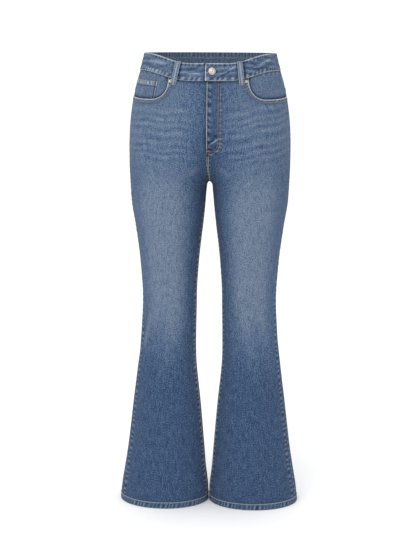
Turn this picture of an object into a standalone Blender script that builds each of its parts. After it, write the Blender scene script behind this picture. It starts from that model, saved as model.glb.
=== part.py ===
"""Bootcut jeans in their worn shape, with no wearer inside.

Metres, +Z up. The front faces -Y and the wearer's left is +X. The origin is the middle of the
waist opening, halfway up the waistband at the side seams. Every cloth piece is a wall laid over one
smooth surface, point(angle, z): angle 0 is the side, a quarter turn is the front, and minus a
quarter turn is the back. The wearer's right half is the left half mirrored.
"""
import math

import bmesh
import bpy
import numpy as np

# Cloth and seams
CLOTH = 0.0015              # thickness of one panel
BAND_CLOTH = 0.0030         # thickness of the folded waistband
HEM_CLOTH = 0.0032          # thickness of the turned-up hem
COIN_CLOTH = 0.0010
LOOP_CLOTH = 0.0020
SEAM = 0.0003               # gap between neighbouring pieces

# Heights
RIM = 0.0205                # top edge of the waistband at the side seams
RIM_DIP = 0.0210            # how far that edge drops at the front
BAND_HEIGHT = 0.0388
HIP = -0.150                # first level row of the leg panels
FORK = -0.267               # where the four seams meet at the crotch
HEM = -1.0315               # lower edge of the legs
HEM_HEIGHT = 0.0165
YOKE_SIDE = -0.055          # yoke seam at the side seams
YOKE_CENTRE = -0.092        # yoke seam at the centre back

# The waistband's dip starts and ends at these shares of the half width
DIP_OUTER, DIP_INNER = 0.95, 0.28

# The fork: half its flat width, the drop over which it opens, and how fast the groove above opens
FORK_HALF = 0.005
FORK_DROP = 0.003
GROOVE = 0.30

# Fly: its edge lies past the centre, on the wearer's right, and runs back to the centre at the fork
FLY_LAP = 0.0035
FLY_FADE = 0.050

# Pocket opening: a line from the side seam, then a quarter ellipse up to the waistband
SCOOP_SIDE_Z = -0.0745
SCOOP_LOW_X, SCOOP_LOW_Z = 0.132, -0.0792
SCOOP_TOP_X = 0.088
SCOOP_SQUARE = 0.84         # below 1 the quarter ellipse is fuller
FACING_BELOW = 0.020        # how far the facing runs on below the opening
FACING_FLUSH_X = 0.100      # outside this x the facing's top edge comes out to the waistband
UNDER = 0.0005              # gap between a panel and a piece that lies over or behind it

# Coin pocket, on the wearer's right facing only
COIN_SIDE = 0.05            # angle of its outer edge
COIN_TOP_X, COIN_LOW_X = 0.1135, 0.1240
COIN_TOP_Z, COIN_SLOPE, COIN_LOW_Z = -0.0360, -0.0045, -0.096

# Waistband ends: the wearer's left end laps over the right one
BAND_PROUD = 0.0008
LAP_END_X, UNDER_END_X = -0.0070, 0.0300
LAP_RISE, UNDER_SINK = 0.0017, 0.0019
LAP_EASE = math.radians(28)

# Back pockets: distances from the centre back along the cloth, at the top and at the low corners
POCKET_INNER_TOP, POCKET_INNER_LOW = 0.033, 0.040
POCKET_WIDTH_TOP, POCKET_WIDTH_LOW = 0.140, 0.122
POCKET_TOP_Z, POCKET_DEPTH, POCKET_POINT = -0.108, 0.118, 0.024
POCKET_GAP = 0.0013

# Belt loops: angle round the waist of each one
LOOP_WIDTH, LOOP_LENGTH, LOOP_STAND = 0.0118, 0.052, 0.0034
LOOP_FRONT = math.radians(64.0)
LOOP_SLANT = {1: 0.0, -1: 0.035}    # turn of a front loop's lower end towards the side
LOOP_SIDE = math.radians(-33.0)
LOOP_BACK = math.radians(-90.0)

# Button and rivets
BUTTON_X, BUTTON_Z, BUTTON_RADIUS, BUTTON_HEIGHT = 0.0080, -0.0180, 0.0083, 0.0042
RIVET_X, RIVET_Z, RIVET_RADIUS, RIVET_HEIGHT = 0.0826, -0.0398, 0.0038, 0.0018

# One row for each height, from the hem up. side: x of the side seam's line; centre: x of the
# section's middle, 0 where both halves make one ellipse; front, back: depth each way from the
# widest line; mid: y of that line; full: how square the section is; seam, inseam: degrees that
# the side seam and the inseam are turned towards the front.
COLUMNS = ("z", "side", "centre", "front", "back", "mid", "full", "seam", "inseam")
SECTIONS = np.array([
    (-1.040, 0.2112, 0.1040, 0.0845, 0.0850, 0.018, 0.00, 20.0, 9.0),
    (-1.000, 0.2080, 0.1023, 0.0815, 0.0825, 0.017, 0.00, 19.5, 9.0),
    (-0.950, 0.2000, 0.1010, 0.0765, 0.0790, 0.016, 0.00, 19.0, 9.0),
    (-0.900, 0.1920, 0.0989, 0.0730, 0.0760, 0.014, 0.00, 18.0, 9.0),
    (-0.790, 0.1785, 0.0967, 0.0670, 0.0710, 0.010, 0.00, 16.0, 9.0),
    (-0.700, 0.1670, 0.0955, 0.0630, 0.0660, 0.007, 0.00, 14.0, 9.0),
    (-0.620, 0.1585, 0.0919, 0.0615, 0.0645, 0.005, 0.00, 12.0, 9.0),
    (-0.540, 0.1545, 0.0893, 0.0650, 0.0690, 0.006, 0.00, 9.0, 9.0),
    (-0.450, 0.1600, 0.0895, 0.0760, 0.0800, 0.006, 0.00, 5.0, 9.0),
    (-0.370, 0.1700, 0.0900, 0.0880, 0.0930, 0.005, 0.00, 2.0, 8.0),
    (-0.310, 0.1790, 0.0915, 0.0970, 0.1050, 0.004, 0.01, 0.0, 5.0),
    (-0.267, 0.1812, 0.0906, 0.1040, 0.1160, 0.002, 0.03, 0.0, 0.0),
    (-0.252, 0.1819, 0.0881, 0.1070, 0.1200, 0.002, 0.04, 0.0, 0.0),
    (-0.230, 0.1826, 0.0828, 0.1110, 0.1270, 0.001, 0.06, 0.0, 0.0),
    (-0.190, 0.1828, 0.0704, 0.1140, 0.1330, 0.000, 0.09, 0.0, 0.0),
    (-0.150, 0.1815, 0.0547, 0.1150, 0.1340, 0.000, 0.11, 0.0, 0.0),
    (-0.110, 0.1778, 0.0350, 0.1130, 0.1270, 0.000, 0.12, 0.0, 0.0),
    (-0.060, 0.1690, 0.0070, 0.1070, 0.1130, 0.000, 0.12, 0.0, 0.0),
    (-0.045, 0.1655, 0.0000, 0.1050, 0.1090, 0.000, 0.12, 0.0, 0.0),
    (-0.020, 0.1580, 0.0000, 0.1010, 0.1010, 0.000, 0.12, 0.0, 0.0),
    (0.030, 0.1448, 0.0000, 0.0960, 0.0940, 0.000, 0.12, 0.0, 0.0),
])

# Soft folds. half: 1 is the wearer's left, -1 the right; angle in degrees and z give the middle;
# across and along are the reach over and along the fold; tilt is its turn from level; depth is
# how far it sinks, or rises where it is negative.
FOLD_COLUMNS = ("half", "angle", "z", "across", "along", "tilt", "depth")
FOLDS = np.array([
    (1, -95, -0.585, 0.014, 0.050, 8, 0.0040),
    (1, -80, -0.625, 0.014, 0.060, -6, 0.0045),
    (1, -100, -0.665, 0.015, 0.045, 10, 0.0035),
    (-1, -85, -0.595, 0.014, 0.055, -9, 0.0042),
    (-1, -105, -0.635, 0.014, 0.050, 7, 0.0040),
    (-1, -85, -0.672, 0.015, 0.045, -8, 0.0032),
    (1, -118, -0.318, 0.020, 0.050, -22, 0.0032),
    (-1, -114, -0.322, 0.020, 0.050, -24, 0.0030),
    (-1, 30, -0.620, 0.014, 0.070, 58, 0.0025),
    (1, 110, -0.560, 0.016, 0.060, -35, 0.0020),
])
FOLD_RADIUS = 0.075         # turns a fold's angles into lengths on the leg

# Rows and columns of the walls
SCOOP_COLUMNS, CENTRE_COLUMNS, BACK_COLUMNS = 12, 5, 12
UPPER_ROWS, GROOVE_ROWS, THIGH_ROWS, KNEE_ROWS, FLARE_ROWS = 5, 6, 6, 9, 6
KNEE_TOP, KNEE_LOW = -0.555, -0.705     # close rows for the folds between these heights
FORK_ROWS = (0.0015, 0.005, 0.012, 0.024, 0.042)   # depths of the close rows under the fork

# Colours of the cloths and metals
DENIM = (0.085, 0.125, 0.205)
DENIM_DARK = (0.050, 0.080, 0.150)
THREADED = (0.115, 0.150, 0.215)
NICKEL = (0.66, 0.62, 0.56)


def ease(t):
    """Smooth step from 0 to 1, level at both ends."""
    t = np.clip(t, 0.0, 1.0)
    return t * t * (3 - 2 * t)


def column(name, z):
    """One column of SECTIONS at heights z: cubics between rows that add no bumps of their own."""
    knots, values = SECTIONS[:, 0], SECTIONS[:, COLUMNS.index(name)]
    steps = np.diff(values) / np.diff(knots)
    before, after = steps[:-1], steps[1:]
    total = np.where(before * after > 0, before + after, 1.0)
    inside = np.where(before * after > 0, 2 * before * after / total, 0.0)
    slopes = np.concatenate([steps[:1], inside, steps[-1:]])
    i = np.clip(np.searchsorted(knots, z) - 1, 0, len(knots) - 2)
    span = knots[i + 1] - knots[i]
    t = (z - knots[i]) / span
    start = (1 + 2 * t) * values[i] + t * span * slopes[i]
    end = (3 - 2 * t) * values[i + 1] - (1 - t) * span * slopes[i + 1]
    return (1 - t) ** 2 * start + t ** 2 * end


def section(z):
    """Middle and half width of one half's section."""
    centre = column("centre", z)
    return centre, column("side", z) - centre


def sink(angle, z, half):
    """Depth of the soft folds at each point: a sum of long bell-shaped troughs."""
    total = np.zeros(np.broadcast(angle, z).shape)
    for side, turn, height, across, along, tilt, depth in FOLDS:
        if side != half:
            continue
        level = (angle - math.radians(turn)) * FOLD_RADIUS
        rise = z - height
        c, s = math.cos(math.radians(tilt)), math.sin(math.radians(tilt))
        total += depth * np.exp(-((rise * c - level * s) / across) ** 2
                                - ((level * c + rise * s) / along) ** 2)
    return total


def point(angle, z, half):
    """Outer surface of one half at each angle and height, before mirroring.

    x runs over an ellipse round the section's middle. Above the fork the depth reads a softened
    |x|, so that the two halves join in a shallow groove that fades out by the hips. Below it the
    inner side of the leg moves out by FORK_HALF.
    """
    angle, z = np.broadcast_arrays(np.asarray(angle, float), np.asarray(z, float))
    centre, wide = section(z)
    x = centre + wide * np.cos(angle)
    room = np.maximum(centre, 1e-6)
    soft = room * np.tanh(GROOVE * np.clip(z - FORK, 0.0, None) / room)
    joined = np.sqrt(x * x + soft * soft * (1 - (x / (centre + wide)) ** 2))
    bent = np.where(z > FORK, joined, x)
    level = np.clip((bent - centre) / wide, -1.0, 1.0)
    depth = np.sqrt(1 - level ** 2) * (1 + column("full", z) * level ** 2)
    front = np.sin(angle) >= 0
    y = column("mid", z) + np.where(front, -column("front", z), column("back", z)) * depth
    opening = FORK_HALF * (1 - np.exp(-np.clip(FORK - z, 0.0, None) / FORK_DROP))
    x = x + opening * ((1 - np.cos(angle)) / 2) ** 3
    inward = sink(angle, z, half)
    return np.stack([x - inward * np.cos(angle), y + inward * np.sin(angle), z], axis=-1)


def skin(angle, z, half):
    """Points and outward normals of one half, mirrored for the wearer's right."""
    small_turn, small_drop = 1e-4, 1e-5
    base = point(angle, z, half)
    turn = point(angle + small_turn, z, half) - point(angle - small_turn, z, half)
    rise = base - point(angle, z - small_drop, half)
    normal = np.cross(rise, turn)
    normal /= np.linalg.norm(normal, axis=-1, keepdims=True)
    base = base + np.array([SEAM / 2, 0, 0])
    mirror = np.array([half, 1, 1])
    return base * mirror, normal * mirror


def rim_height(angle):
    """Top edge of the waistband: level at the back and sides, dipping at the front."""
    share = (DIP_OUTER - np.abs(np.cos(angle))) / (DIP_OUTER - DIP_INNER)
    return RIM - RIM_DIP * ease(share) * (np.sin(angle) > 0)


def band_seam(angle):
    """Lower edge of the waistband."""
    return rim_height(angle) - BAND_HEIGHT


def yoke_seam(angle):
    """Seam between the yoke and the back panel, lowest at the centre back."""
    return YOKE_SIDE + (YOKE_CENTRE - YOKE_SIDE) * np.clip(-angle / (math.pi / 2), 0, 1)


def angle_at(x, z):
    """Angle at which one half's section passes x on its front."""
    centre, wide = section(np.asarray(z, float))
    return np.arccos(np.clip((x - centre) / wide, -1.0, 1.0))


def side_edge(z, face):
    """Angle of the side seam; face 1 is the front panel's edge, -1 the back panel's."""
    return np.radians(column("seam", z)) + face * SEAM / 2 / column("front", z)


def inner_edge(z, face, half):
    """Angle of a panel's inner edge: the rise seam above the fork, the inseam below it."""
    centre, wide = section(z)
    lap = -half * FLY_LAP * ease((z - FORK) / FLY_FADE) if face > 0 else 0.0
    rise = np.arccos(np.clip((lap - centre) / wide, -1.0, 1.0))
    inseam = math.pi - face * np.radians(column("inseam", z)) - SEAM / 2 / column("front", z)
    return face * np.where(z > FORK, rise, inseam)


def panel_angle(share, z, face, half):
    """Angle at a share of the way from the side seam to the inner edge."""
    side = side_edge(z, face)
    return side + share * (inner_edge(z, face, half) - side)


def mesh_object(name, points, faces, colour, rough=0.85, metal=0.0, smooth=True):
    """A named object of one closed mesh, its faces turned outwards, with its own material."""
    mesh = bpy.data.meshes.new(name)
    mesh.from_pydata(points.reshape(-1, 3).tolist(), [], faces.tolist())
    bm = bmesh.new()
    bm.from_mesh(mesh)
    bmesh.ops.recalc_face_normals(bm, faces=bm.faces)
    bm.to_mesh(mesh)
    bm.free()
    if smooth:
        mesh.shade_smooth()
        mesh.set_sharp_from_angle(angle=math.radians(50))
    material = bpy.data.materials.new(name + "_finish")
    material.use_nodes = True
    shader = material.node_tree.nodes["Principled BSDF"]
    shader.inputs["Base Color"].default_value = (*colour, 1)
    shader.inputs["Roughness"].default_value = rough
    shader.inputs["Metallic"].default_value = metal
    mesh.materials.append(material)
    item = bpy.data.objects.new(name, mesh)
    bpy.context.scene.collection.objects.link(item)
    return item


def wall_faces(rows, columns, ring):
    """Quads of a closed wall between two grids of rows x columns; a ring closes on itself."""
    index = np.arange(rows * columns).reshape(rows, columns)
    shift = rows * columns
    if ring:
        index = np.concatenate([index, index[:, :1]], axis=1)
    quads = np.stack([index[:-1, :-1], index[:-1, 1:], index[1:, 1:], index[1:, :-1]], axis=-1)
    quads = quads.reshape(-1, 4)
    faces = [quads, quads[:, ::-1] + shift]
    edges = [index[0, ::-1], index[-1]]
    if not ring:
        edges += [index[:, 0], index[::-1, -1]]
    for edge in edges:
        faces.append(np.stack([edge[:-1], edge[1:], edge[1:] + shift, edge[:-1] + shift], axis=-1))
    return np.concatenate(faces)


def wall(name, angle, z, half, colour, out=0.0, thick=CLOTH, ring=False):
    """A piece of cloth over a grid of angles and heights, its outer face at `out` from the skin."""
    angle, z, out = np.broadcast_arrays(angle, z, out)
    base, normal = skin(angle, z, half)
    outer = base + normal * out[..., None]
    inner = outer - normal * thick
    faces = wall_faces(*angle.shape, ring)
    return mesh_object(name, np.stack([outer, inner]), faces, colour)


def side_name(half):
    return "left" if half > 0 else "right"


def leg_heights(top):
    """Level rows from `top` to the hem: close round the fork and behind the knee."""
    above = FORK + (top - FORK) * (np.arange(GROOVE_ROWS, 0, -1) / GROOVE_ROWS) ** 2
    close = FORK - np.array((0.0,) + FORK_ROWS)
    thigh = np.linspace(close[-1], KNEE_TOP, THIGH_ROWS + 1)[1:]
    knee = np.linspace(KNEE_TOP, KNEE_LOW, KNEE_ROWS + 1)[1:]
    flare = np.linspace(KNEE_LOW, HEM + HEM_HEIGHT + SEAM, FLARE_ROWS + 1)[1:]
    return np.concatenate([above, close, thigh, knee, flare])


def scoop_line(count):
    """Pocket opening from the side seam to the waistband, as angles and heights."""
    level = np.linspace(0.0, 1.0, count // 2 + 1)[:-1]
    low_angle = angle_at(SCOOP_LOW_X, SCOOP_LOW_Z)
    flat_z = SCOOP_SIDE_Z + (SCOOP_LOW_Z - SCOOP_SIDE_Z) * np.sin(level * math.pi / 2)
    bend = np.linspace(0.0, math.pi / 2, count - count // 2 + 1)
    top_z = band_seam(angle_at(SCOOP_TOP_X, band_seam(LOOP_FRONT)))
    bend_z = top_z + (SCOOP_LOW_Z - top_z) * np.cos(bend) ** SCOOP_SQUARE
    bend_x = SCOOP_LOW_X + (SCOOP_TOP_X - SCOOP_LOW_X) * np.sin(bend) ** SCOOP_SQUARE
    bend_angle = angle_at(bend_x, bend_z)
    return np.concatenate([level * low_angle, bend_angle]), np.concatenate([flat_z, bend_z])


def seam_angles():
    """Angles of the columns along the waistband's seam: front of the scoop, then centre front."""
    corner = scoop_line(SCOOP_COLUMNS)[0][-1]
    facing = np.linspace(0.0, corner, SCOOP_COLUMNS)
    middle = np.linspace(corner, math.pi / 2, CENTRE_COLUMNS + 1)
    return facing, middle


def front_panel(half):
    """Front leg panel: its top edge follows the pocket opening and then the waistband."""
    scoop_angle, scoop_z = scoop_line(SCOOP_COLUMNS)
    middle = seam_angles()[1][1:]
    top_angle = np.concatenate([scoop_angle, middle])
    top_z = np.concatenate([scoop_z, band_seam(middle) - SEAM / 2])
    top_z[len(scoop_z) - 1] -= SEAM / 2
    side = side_edge(top_z, 1)
    top_share = np.clip((top_angle - side) / (inner_edge(top_z, 1, half) - side), 0.0, 1.0)
    top_share[-1] = 1.0
    even = np.linspace(0.0, 1.0, len(top_share))
    t = np.linspace(0.0, 1.0, UPPER_ROWS + 1)[:-1, None]
    share = np.concatenate([(1 - t) * top_share + t * even,
                            np.tile(even, (len(leg_heights(HIP)), 1))])
    z = np.concatenate([(1 - t) * top_z + t * HIP,
                        np.tile(leg_heights(HIP)[:, None], (1, len(even)))])
    wall("front_" + side_name(half), panel_angle(share, z, 1, half), z, half, DENIM)


def back_panel(half):
    """Back leg panel, from the yoke seam to the hem."""
    share = np.linspace(0.0, 1.0, BACK_COLUMNS + 1)
    top_z = yoke_seam(-share * math.pi / 2) - SEAM / 2
    t = np.linspace(0.0, 1.0, UPPER_ROWS - 1)[:-1, None]
    rows = leg_heights(HIP)
    z = np.concatenate([(1 - t) * top_z + t * HIP, np.tile(rows[:, None], (1, len(share)))])
    wall("back_" + side_name(half), panel_angle(share, z, -1, half), z, half, DENIM)


def yoke(half):
    """Back yoke half, between the waistband and the yoke seam."""
    share = np.linspace(0.0, 1.0, BACK_COLUMNS + 1)
    angle = -share * math.pi / 2
    top, low = band_seam(angle) - SEAM / 2, yoke_seam(angle) + SEAM / 2
    t = np.linspace(0.0, 1.0, 3)[:, None]
    z = (1 - t) * top + t * low
    wall("yoke_" + side_name(half), panel_angle(share, z, -1, half), z, half, DENIM)


def pocket_facing(half):
    """Facing behind the pocket opening; the right one lies deeper, under the coin pocket."""
    facing, middle = seam_angles()
    top_angle = np.concatenate([facing, middle[1:2]])
    depth = -(CLOTH + UNDER)
    if half < 0:
        depth -= COIN_CLOTH + UNDER
    t = np.linspace(0.0, 1.0, 6)[:, None]
    flush = (t == 0) & (top_angle < angle_at(FACING_FLUSH_X, band_seam(LOOP_FRONT)))
    z = (1 - t) * (band_seam(top_angle) - SEAM / 2) + t * (SCOOP_LOW_Z - FACING_BELOW)
    side = side_edge(z, 1)
    angle = side + (top_angle - top_angle[0]) / (math.pi / 2) * (math.pi / 2 - side)
    wall("pocket_facing_" + side_name(half), angle, z, half, DENIM_DARK,
         out=np.where(flush, 0.0, depth))


def coin_pocket():
    """Small pocket on the wearer's right facing, tucked under the front panel's edge."""
    t = np.linspace(0.0, 1.0, 6)[:, None]
    across = np.linspace(0.0, 1.0, 8)
    top = COIN_TOP_Z + COIN_SLOPE * across
    z = (1 - t) * top + t * COIN_LOW_Z
    inner = angle_at(COIN_TOP_X + (COIN_LOW_X - COIN_TOP_X) * t, z)
    angle = COIN_SIDE + across * (inner - COIN_SIDE)
    wall("coin_pocket", angle, z, -1, THREADED, out=-(CLOTH + UNDER), thick=COIN_CLOTH)


def waistband():
    """One folded strip round the waist, from its under end past the centre front to its lap."""
    facing, middle = seam_angles()
    quarter = np.concatenate([facing, middle[1:]])
    back = np.linspace(0.0, math.pi / 2, BACK_COLUMNS + 1)
    under = float(angle_at(UNDER_END_X, -0.02))
    lap = 2 * math.pi + float(angle_at(LAP_END_X, -0.02))
    loop = np.concatenate([quarter[quarter > under + 0.03], math.pi - quarter[-2::-1],
                           math.pi + back[1:], 2 * math.pi - back[-2::-1],
                           2 * math.pi + quarter[1:]])
    angle = np.concatenate([[under], loop, [lap]])
    out = BAND_PROUD + LAP_RISE * ease((angle - lap + LAP_EASE) / LAP_EASE)
    out = out - UNDER_SINK * (1 - ease((angle - math.pi / 2 - 0.06) / (LAP_EASE - 0.06)))
    top, low = rim_height(angle), band_seam(angle) + SEAM / 2
    t = np.linspace(0.0, 1.0, 4)[:, None]
    wall("waistband", np.tile(angle, (4, 1)), (1 - t) * top + t * low, 1, DENIM, out=out,
         thick=BAND_CLOTH)


def belt_loop(name, top_angle, half, slant=0.0):
    """Strap that lies on the band at its top, stands off it and is sewn down below the seam."""
    t = np.linspace(0.0, 1.0, 11)[:, None]
    z = rim_height(top_angle) + 0.0008 - LOOP_LENGTH * t
    angle = top_angle + slant * (0.4 - t)
    on_band = 1 - ease((t - 0.74) / 0.1)
    stand = LOOP_STAND * (1 - (2 * t - 1) ** 4)
    out = BAND_PROUD * on_band + SEAM + stand + LOOP_CLOTH
    base = point(angle, z, half)
    turn = point(angle + 0.01, z, half) - base
    reach = LOOP_WIDTH / 2 / (np.linalg.norm(turn, axis=-1) / 0.01)
    spread = np.array([-1.0, -0.33, 0.33, 1.0])
    wall(name, angle + spread * reach, np.tile(z, (1, 4)), half, THREADED, out=out,
         thick=LOOP_CLOTH)


def angle_along(distance, z):
    """Back angle at a distance along the cloth from the centre back, at one height."""
    fine = np.linspace(float(inner_edge(np.array(z), -1, 1)), 0.0, 200)
    steps = np.linalg.norm(np.diff(point(fine, z, 0), axis=0), axis=-1)
    return np.interp(distance, np.concatenate([[0.0], np.cumsum(steps)]), fine)


def back_pocket(half):
    """Five-sided patch pocket, made from the back panel's points moved out."""
    across = np.linspace(0.0, 1.0, 13)
    t = np.linspace(0.0, 1.0, 11)[:, None]
    low = POCKET_TOP_Z - POCKET_DEPTH - POCKET_POINT * (1 - np.abs(2 * across - 1))
    z = (1 - t) * POCKET_TOP_Z + t * low
    inner = POCKET_INNER_TOP + (POCKET_INNER_LOW - POCKET_INNER_TOP) * t
    width = POCKET_WIDTH_TOP + (POCKET_WIDTH_LOW - POCKET_WIDTH_TOP) * t
    angle = np.vectorize(angle_along)(inner + across * width, z)
    wall("back_pocket_" + side_name(half), angle, z, half, THREADED,
         out=POCKET_GAP + CLOTH)


def hem(half):
    """Turned-up hem: a thicker ring round the end of the leg."""
    angle = np.linspace(0.0, 2 * math.pi, 33)[:-1]
    z = np.array([HEM + HEM_HEIGHT, HEM])[:, None]
    wall("hem_" + side_name(half), np.tile(angle, (2, 1)), np.tile(z, (1, 32)), half, THREADED,
         out=0.0005, thick=HEM_CLOTH, ring=True)


def turned(name, angle, z, half, lift, profile, sides, colour):
    """A round fitting on the cloth: a profile of (radius, height) turned about the normal."""
    base, normal = skin(np.array(angle), np.array(z), half)
    upright = np.array([0.0, 0.0, 1.0])
    across = np.cross(upright, normal)
    across /= np.linalg.norm(across)
    along = np.cross(normal, across)
    turn = np.arange(sides) * 2 * math.pi / sides
    ring = np.cos(turn)[:, None] * across + np.sin(turn)[:, None] * along
    rows = [base + normal * (lift + height) + ring * radius for radius, height in profile]
    middle = base + normal * (lift + profile[-1][1])
    points = np.concatenate(rows + [(base + normal * lift)[None], middle[None]])
    index = np.arange(sides * len(profile)).reshape(len(profile), sides)
    index = np.concatenate([index, index[:, :1]], axis=1)
    quads = np.stack([index[:-1, :-1], index[:-1, 1:], index[1:, 1:], index[1:, :-1]], axis=-1)
    faces = quads.reshape(-1, 4).tolist()
    under, top = len(points) - 2, len(points) - 1
    faces += [(under, b, a) for a, b in zip(index[0, :-1], index[0, 1:])]
    faces += [(top, a, b) for a, b in zip(index[-1, :-1], index[-1, 1:])]
    mesh = [[int(corner) for corner in face] for face in faces]
    return mesh_object(name, points, np.array(mesh, dtype=object), colour, 0.3, 1.0)


def fittings():
    """Waist button on the lapped end, and a rivet at the inner end of each pocket opening."""
    r, h = BUTTON_RADIUS, BUTTON_HEIGHT
    button = [(r * 0.62, 0.0), (r * 0.62, h * 0.30), (r, h * 0.42), (r, h * 0.66),
              (r * 0.86, h * 0.86), (r * 0.50, h * 0.98)]
    turned("waist_button", float(angle_at(BUTTON_X, BUTTON_Z)), BUTTON_Z, 1,
           BAND_PROUD + LAP_RISE + SEAM, button, 24, NICKEL)
    r, h = RIVET_RADIUS, RIVET_HEIGHT
    rivet = [(r, 0.0), (r, h * 0.4), (r * 0.8, h * 0.8), (r * 0.4, h)]
    for half in (1, -1):
        turned("rivet_" + side_name(half), float(angle_at(RIVET_X, RIVET_Z)), RIVET_Z, half,
               SEAM, rivet, 16, NICKEL)


for item in list(bpy.data.objects):
    bpy.data.objects.remove(item, do_unlink=True)

waistband()
for side in (1, -1):
    front_panel(side)
    back_panel(side)
    yoke(side)
    pocket_facing(side)
    back_pocket(side)
    hem(side)
    belt_loop("belt_loop_front_" + side_name(side), LOOP_FRONT, side, LOOP_SLANT[side])
    belt_loop("belt_loop_side_" + side_name(side), LOOP_SIDE, side)
coin_pocket()
belt_loop("belt_loop_back", LOOP_BACK, 1)
fittings()
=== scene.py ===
"""Bootcut jeans in washed denim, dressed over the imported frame.

Metres, +Z up. The front faces -Y and the wearer's left is +X. Every cloth piece is a wall over one
smooth surface, point(angle, z): at each height an ellipse round the middle of one leg, whose half
widths are read from SECTIONS. Angle 0 is the side, a quarter turn is the front, and minus a quarter
turn is the back. The wearer's right half is the left half mirrored. Each piece has a finish: a
function of angle and height that gives its fine relief and how washed, worn and shaded it is.
Stitches are laid along lines on the same surfaces.
"""
import math

import bpy
import numpy as np
from mathutils import Matrix, Vector


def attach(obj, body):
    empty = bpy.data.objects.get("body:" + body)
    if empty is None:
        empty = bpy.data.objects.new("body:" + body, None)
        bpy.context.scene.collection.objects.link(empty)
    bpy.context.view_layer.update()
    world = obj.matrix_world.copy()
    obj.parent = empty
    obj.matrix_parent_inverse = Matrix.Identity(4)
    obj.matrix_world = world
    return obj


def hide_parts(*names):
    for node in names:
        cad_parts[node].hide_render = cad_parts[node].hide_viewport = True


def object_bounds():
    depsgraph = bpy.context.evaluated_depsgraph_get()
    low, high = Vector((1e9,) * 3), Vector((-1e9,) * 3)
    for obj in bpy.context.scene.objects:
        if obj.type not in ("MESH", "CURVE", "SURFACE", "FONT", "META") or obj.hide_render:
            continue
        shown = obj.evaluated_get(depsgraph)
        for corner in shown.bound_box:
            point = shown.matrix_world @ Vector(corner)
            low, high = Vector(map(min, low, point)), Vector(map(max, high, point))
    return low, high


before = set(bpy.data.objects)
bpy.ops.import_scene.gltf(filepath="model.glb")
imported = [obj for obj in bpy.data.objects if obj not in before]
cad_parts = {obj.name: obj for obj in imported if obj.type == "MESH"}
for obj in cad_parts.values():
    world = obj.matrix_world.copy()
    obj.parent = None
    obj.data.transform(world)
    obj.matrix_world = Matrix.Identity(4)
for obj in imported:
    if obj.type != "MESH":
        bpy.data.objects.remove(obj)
cad_low, cad_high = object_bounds()

# ---- sizes, the same as the solids' but for the narrower seams ----

CLOTH, BAND_CLOTH, HEM_CLOTH = 0.0015, 0.0030, 0.0032
COIN_CLOTH, LOOP_CLOTH = 0.0010, 0.0020
SEAM = 0.0001               # gap between neighbouring pieces
UNDER = 0.0005              # gap between a piece and the one that it lies under

RIM, RIM_DIP, BAND_HEIGHT = 0.0205, 0.0210, 0.0388
HIP, FORK, HEM, HEM_HEIGHT = -0.150, -0.267, -1.0315, 0.0165
YOKE_SIDE, YOKE_CENTRE = -0.055, -0.092
DIP_OUTER, DIP_INNER = 0.95, 0.28
FORK_HALF, FORK_DROP, GROOVE = 0.005, 0.003, 0.30
FLY_LAP, FLY_FADE = 0.0035, 0.050

SCOOP_SIDE_Z, SCOOP_LOW_X, SCOOP_LOW_Z = -0.0745, 0.132, -0.0792
SCOOP_TOP_X, SCOOP_SQUARE = 0.088, 0.84
FACING_BELOW = 0.020        # how far the facing runs on below the opening

COIN_SIDE, COIN_TOP_X, COIN_LOW_X = 0.05, 0.1135, 0.1240
COIN_TOP_Z, COIN_SLOPE, COIN_LOW_Z = -0.0360, -0.0045, -0.096
COIN_DEPTH = COIN_TOP_Z - COIN_LOW_Z

BAND_PROUD, LAP_END_X, UNDER_END_X = 0.0008, -0.0070, 0.0300
LAP_RISE, UNDER_SINK, LAP_EASE = 0.0017, 0.0019, math.radians(28)
BAND_LEVEL = -0.02          # height at which the band's ends are measured

POCKET_INNER_TOP, POCKET_INNER_LOW = 0.033, 0.040
POCKET_WIDTH_TOP, POCKET_WIDTH_LOW = 0.140, 0.122
POCKET_TOP_Z, POCKET_DEPTH, POCKET_POINT, POCKET_GAP = -0.108, 0.118, 0.024, 0.0013

LOOP_WIDTH, LOOP_LENGTH, LOOP_STAND = 0.0118, 0.052, 0.0034
LOOP_FRONT, LOOP_SIDE, LOOP_BACK = math.radians(64.0), math.radians(-33.0), math.radians(-90.0)

# Belt loops: name, angle, half, rise of the top over the band's edge, slant in radians
LOOPS = (("front", LOOP_FRONT, 1, 0.0008, 0.0), ("front", LOOP_FRONT, -1, 0.0008, 0.035),
         ("side", LOOP_SIDE, 1, -0.0022, 0.0), ("side", LOOP_SIDE, -1, -0.0022, 0.0),
         ("back", LOOP_BACK, 1, -0.0022, 0.0))

BUTTON_X, BUTTON_Z, BUTTON_RADIUS, BUTTON_HEIGHT = 0.0080, -0.0180, 0.0083, 0.0042
RIVET_X, RIVET_Z, RIVET_RADIUS, RIVET_HEIGHT = 0.0826, -0.0398, 0.0038, 0.0018
TACK_LIFT, HEM_PROUD = 0.0006, 0.0005    # rivets and bar tacks, and the hems, off the skin

# Metres of cloth for each radian of angle: at the waist, at the hem, and the least at a seam
WAIST_RADIUS, HEM_RADIUS, LEAST_STRETCH = 0.13, 0.0925, 0.03

# Distances of stitched rows from the edges that they follow
SCOOP_ROWS, YOKE_ROWS = (0.0016, 0.0078), (0.0018, 0.0080)
COIN_ROWS, COIN_SIDE_ROWS = (0.0016, 0.0098), (0.0014, 0.0060)
FLY_ROWS, BELOW_FLY_ROWS = (0.0, 0.0048), (0.0016, 0.0070)
FLY_EDGE_ROW, INSEAM_ROW, HEM_ROW = 0.0016, 0.0050, 0.0142
BAND_TOP_ROW, BAND_LOW_ROW, BAND_INSIDE_ROW = 0.0020, 0.0018, 0.0125
POCKET_TOP_ROWS, POCKET_SIDE_ROWS = (0.02, 0.115), (0.013, 0.055)    # as shares of the pocket

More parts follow.
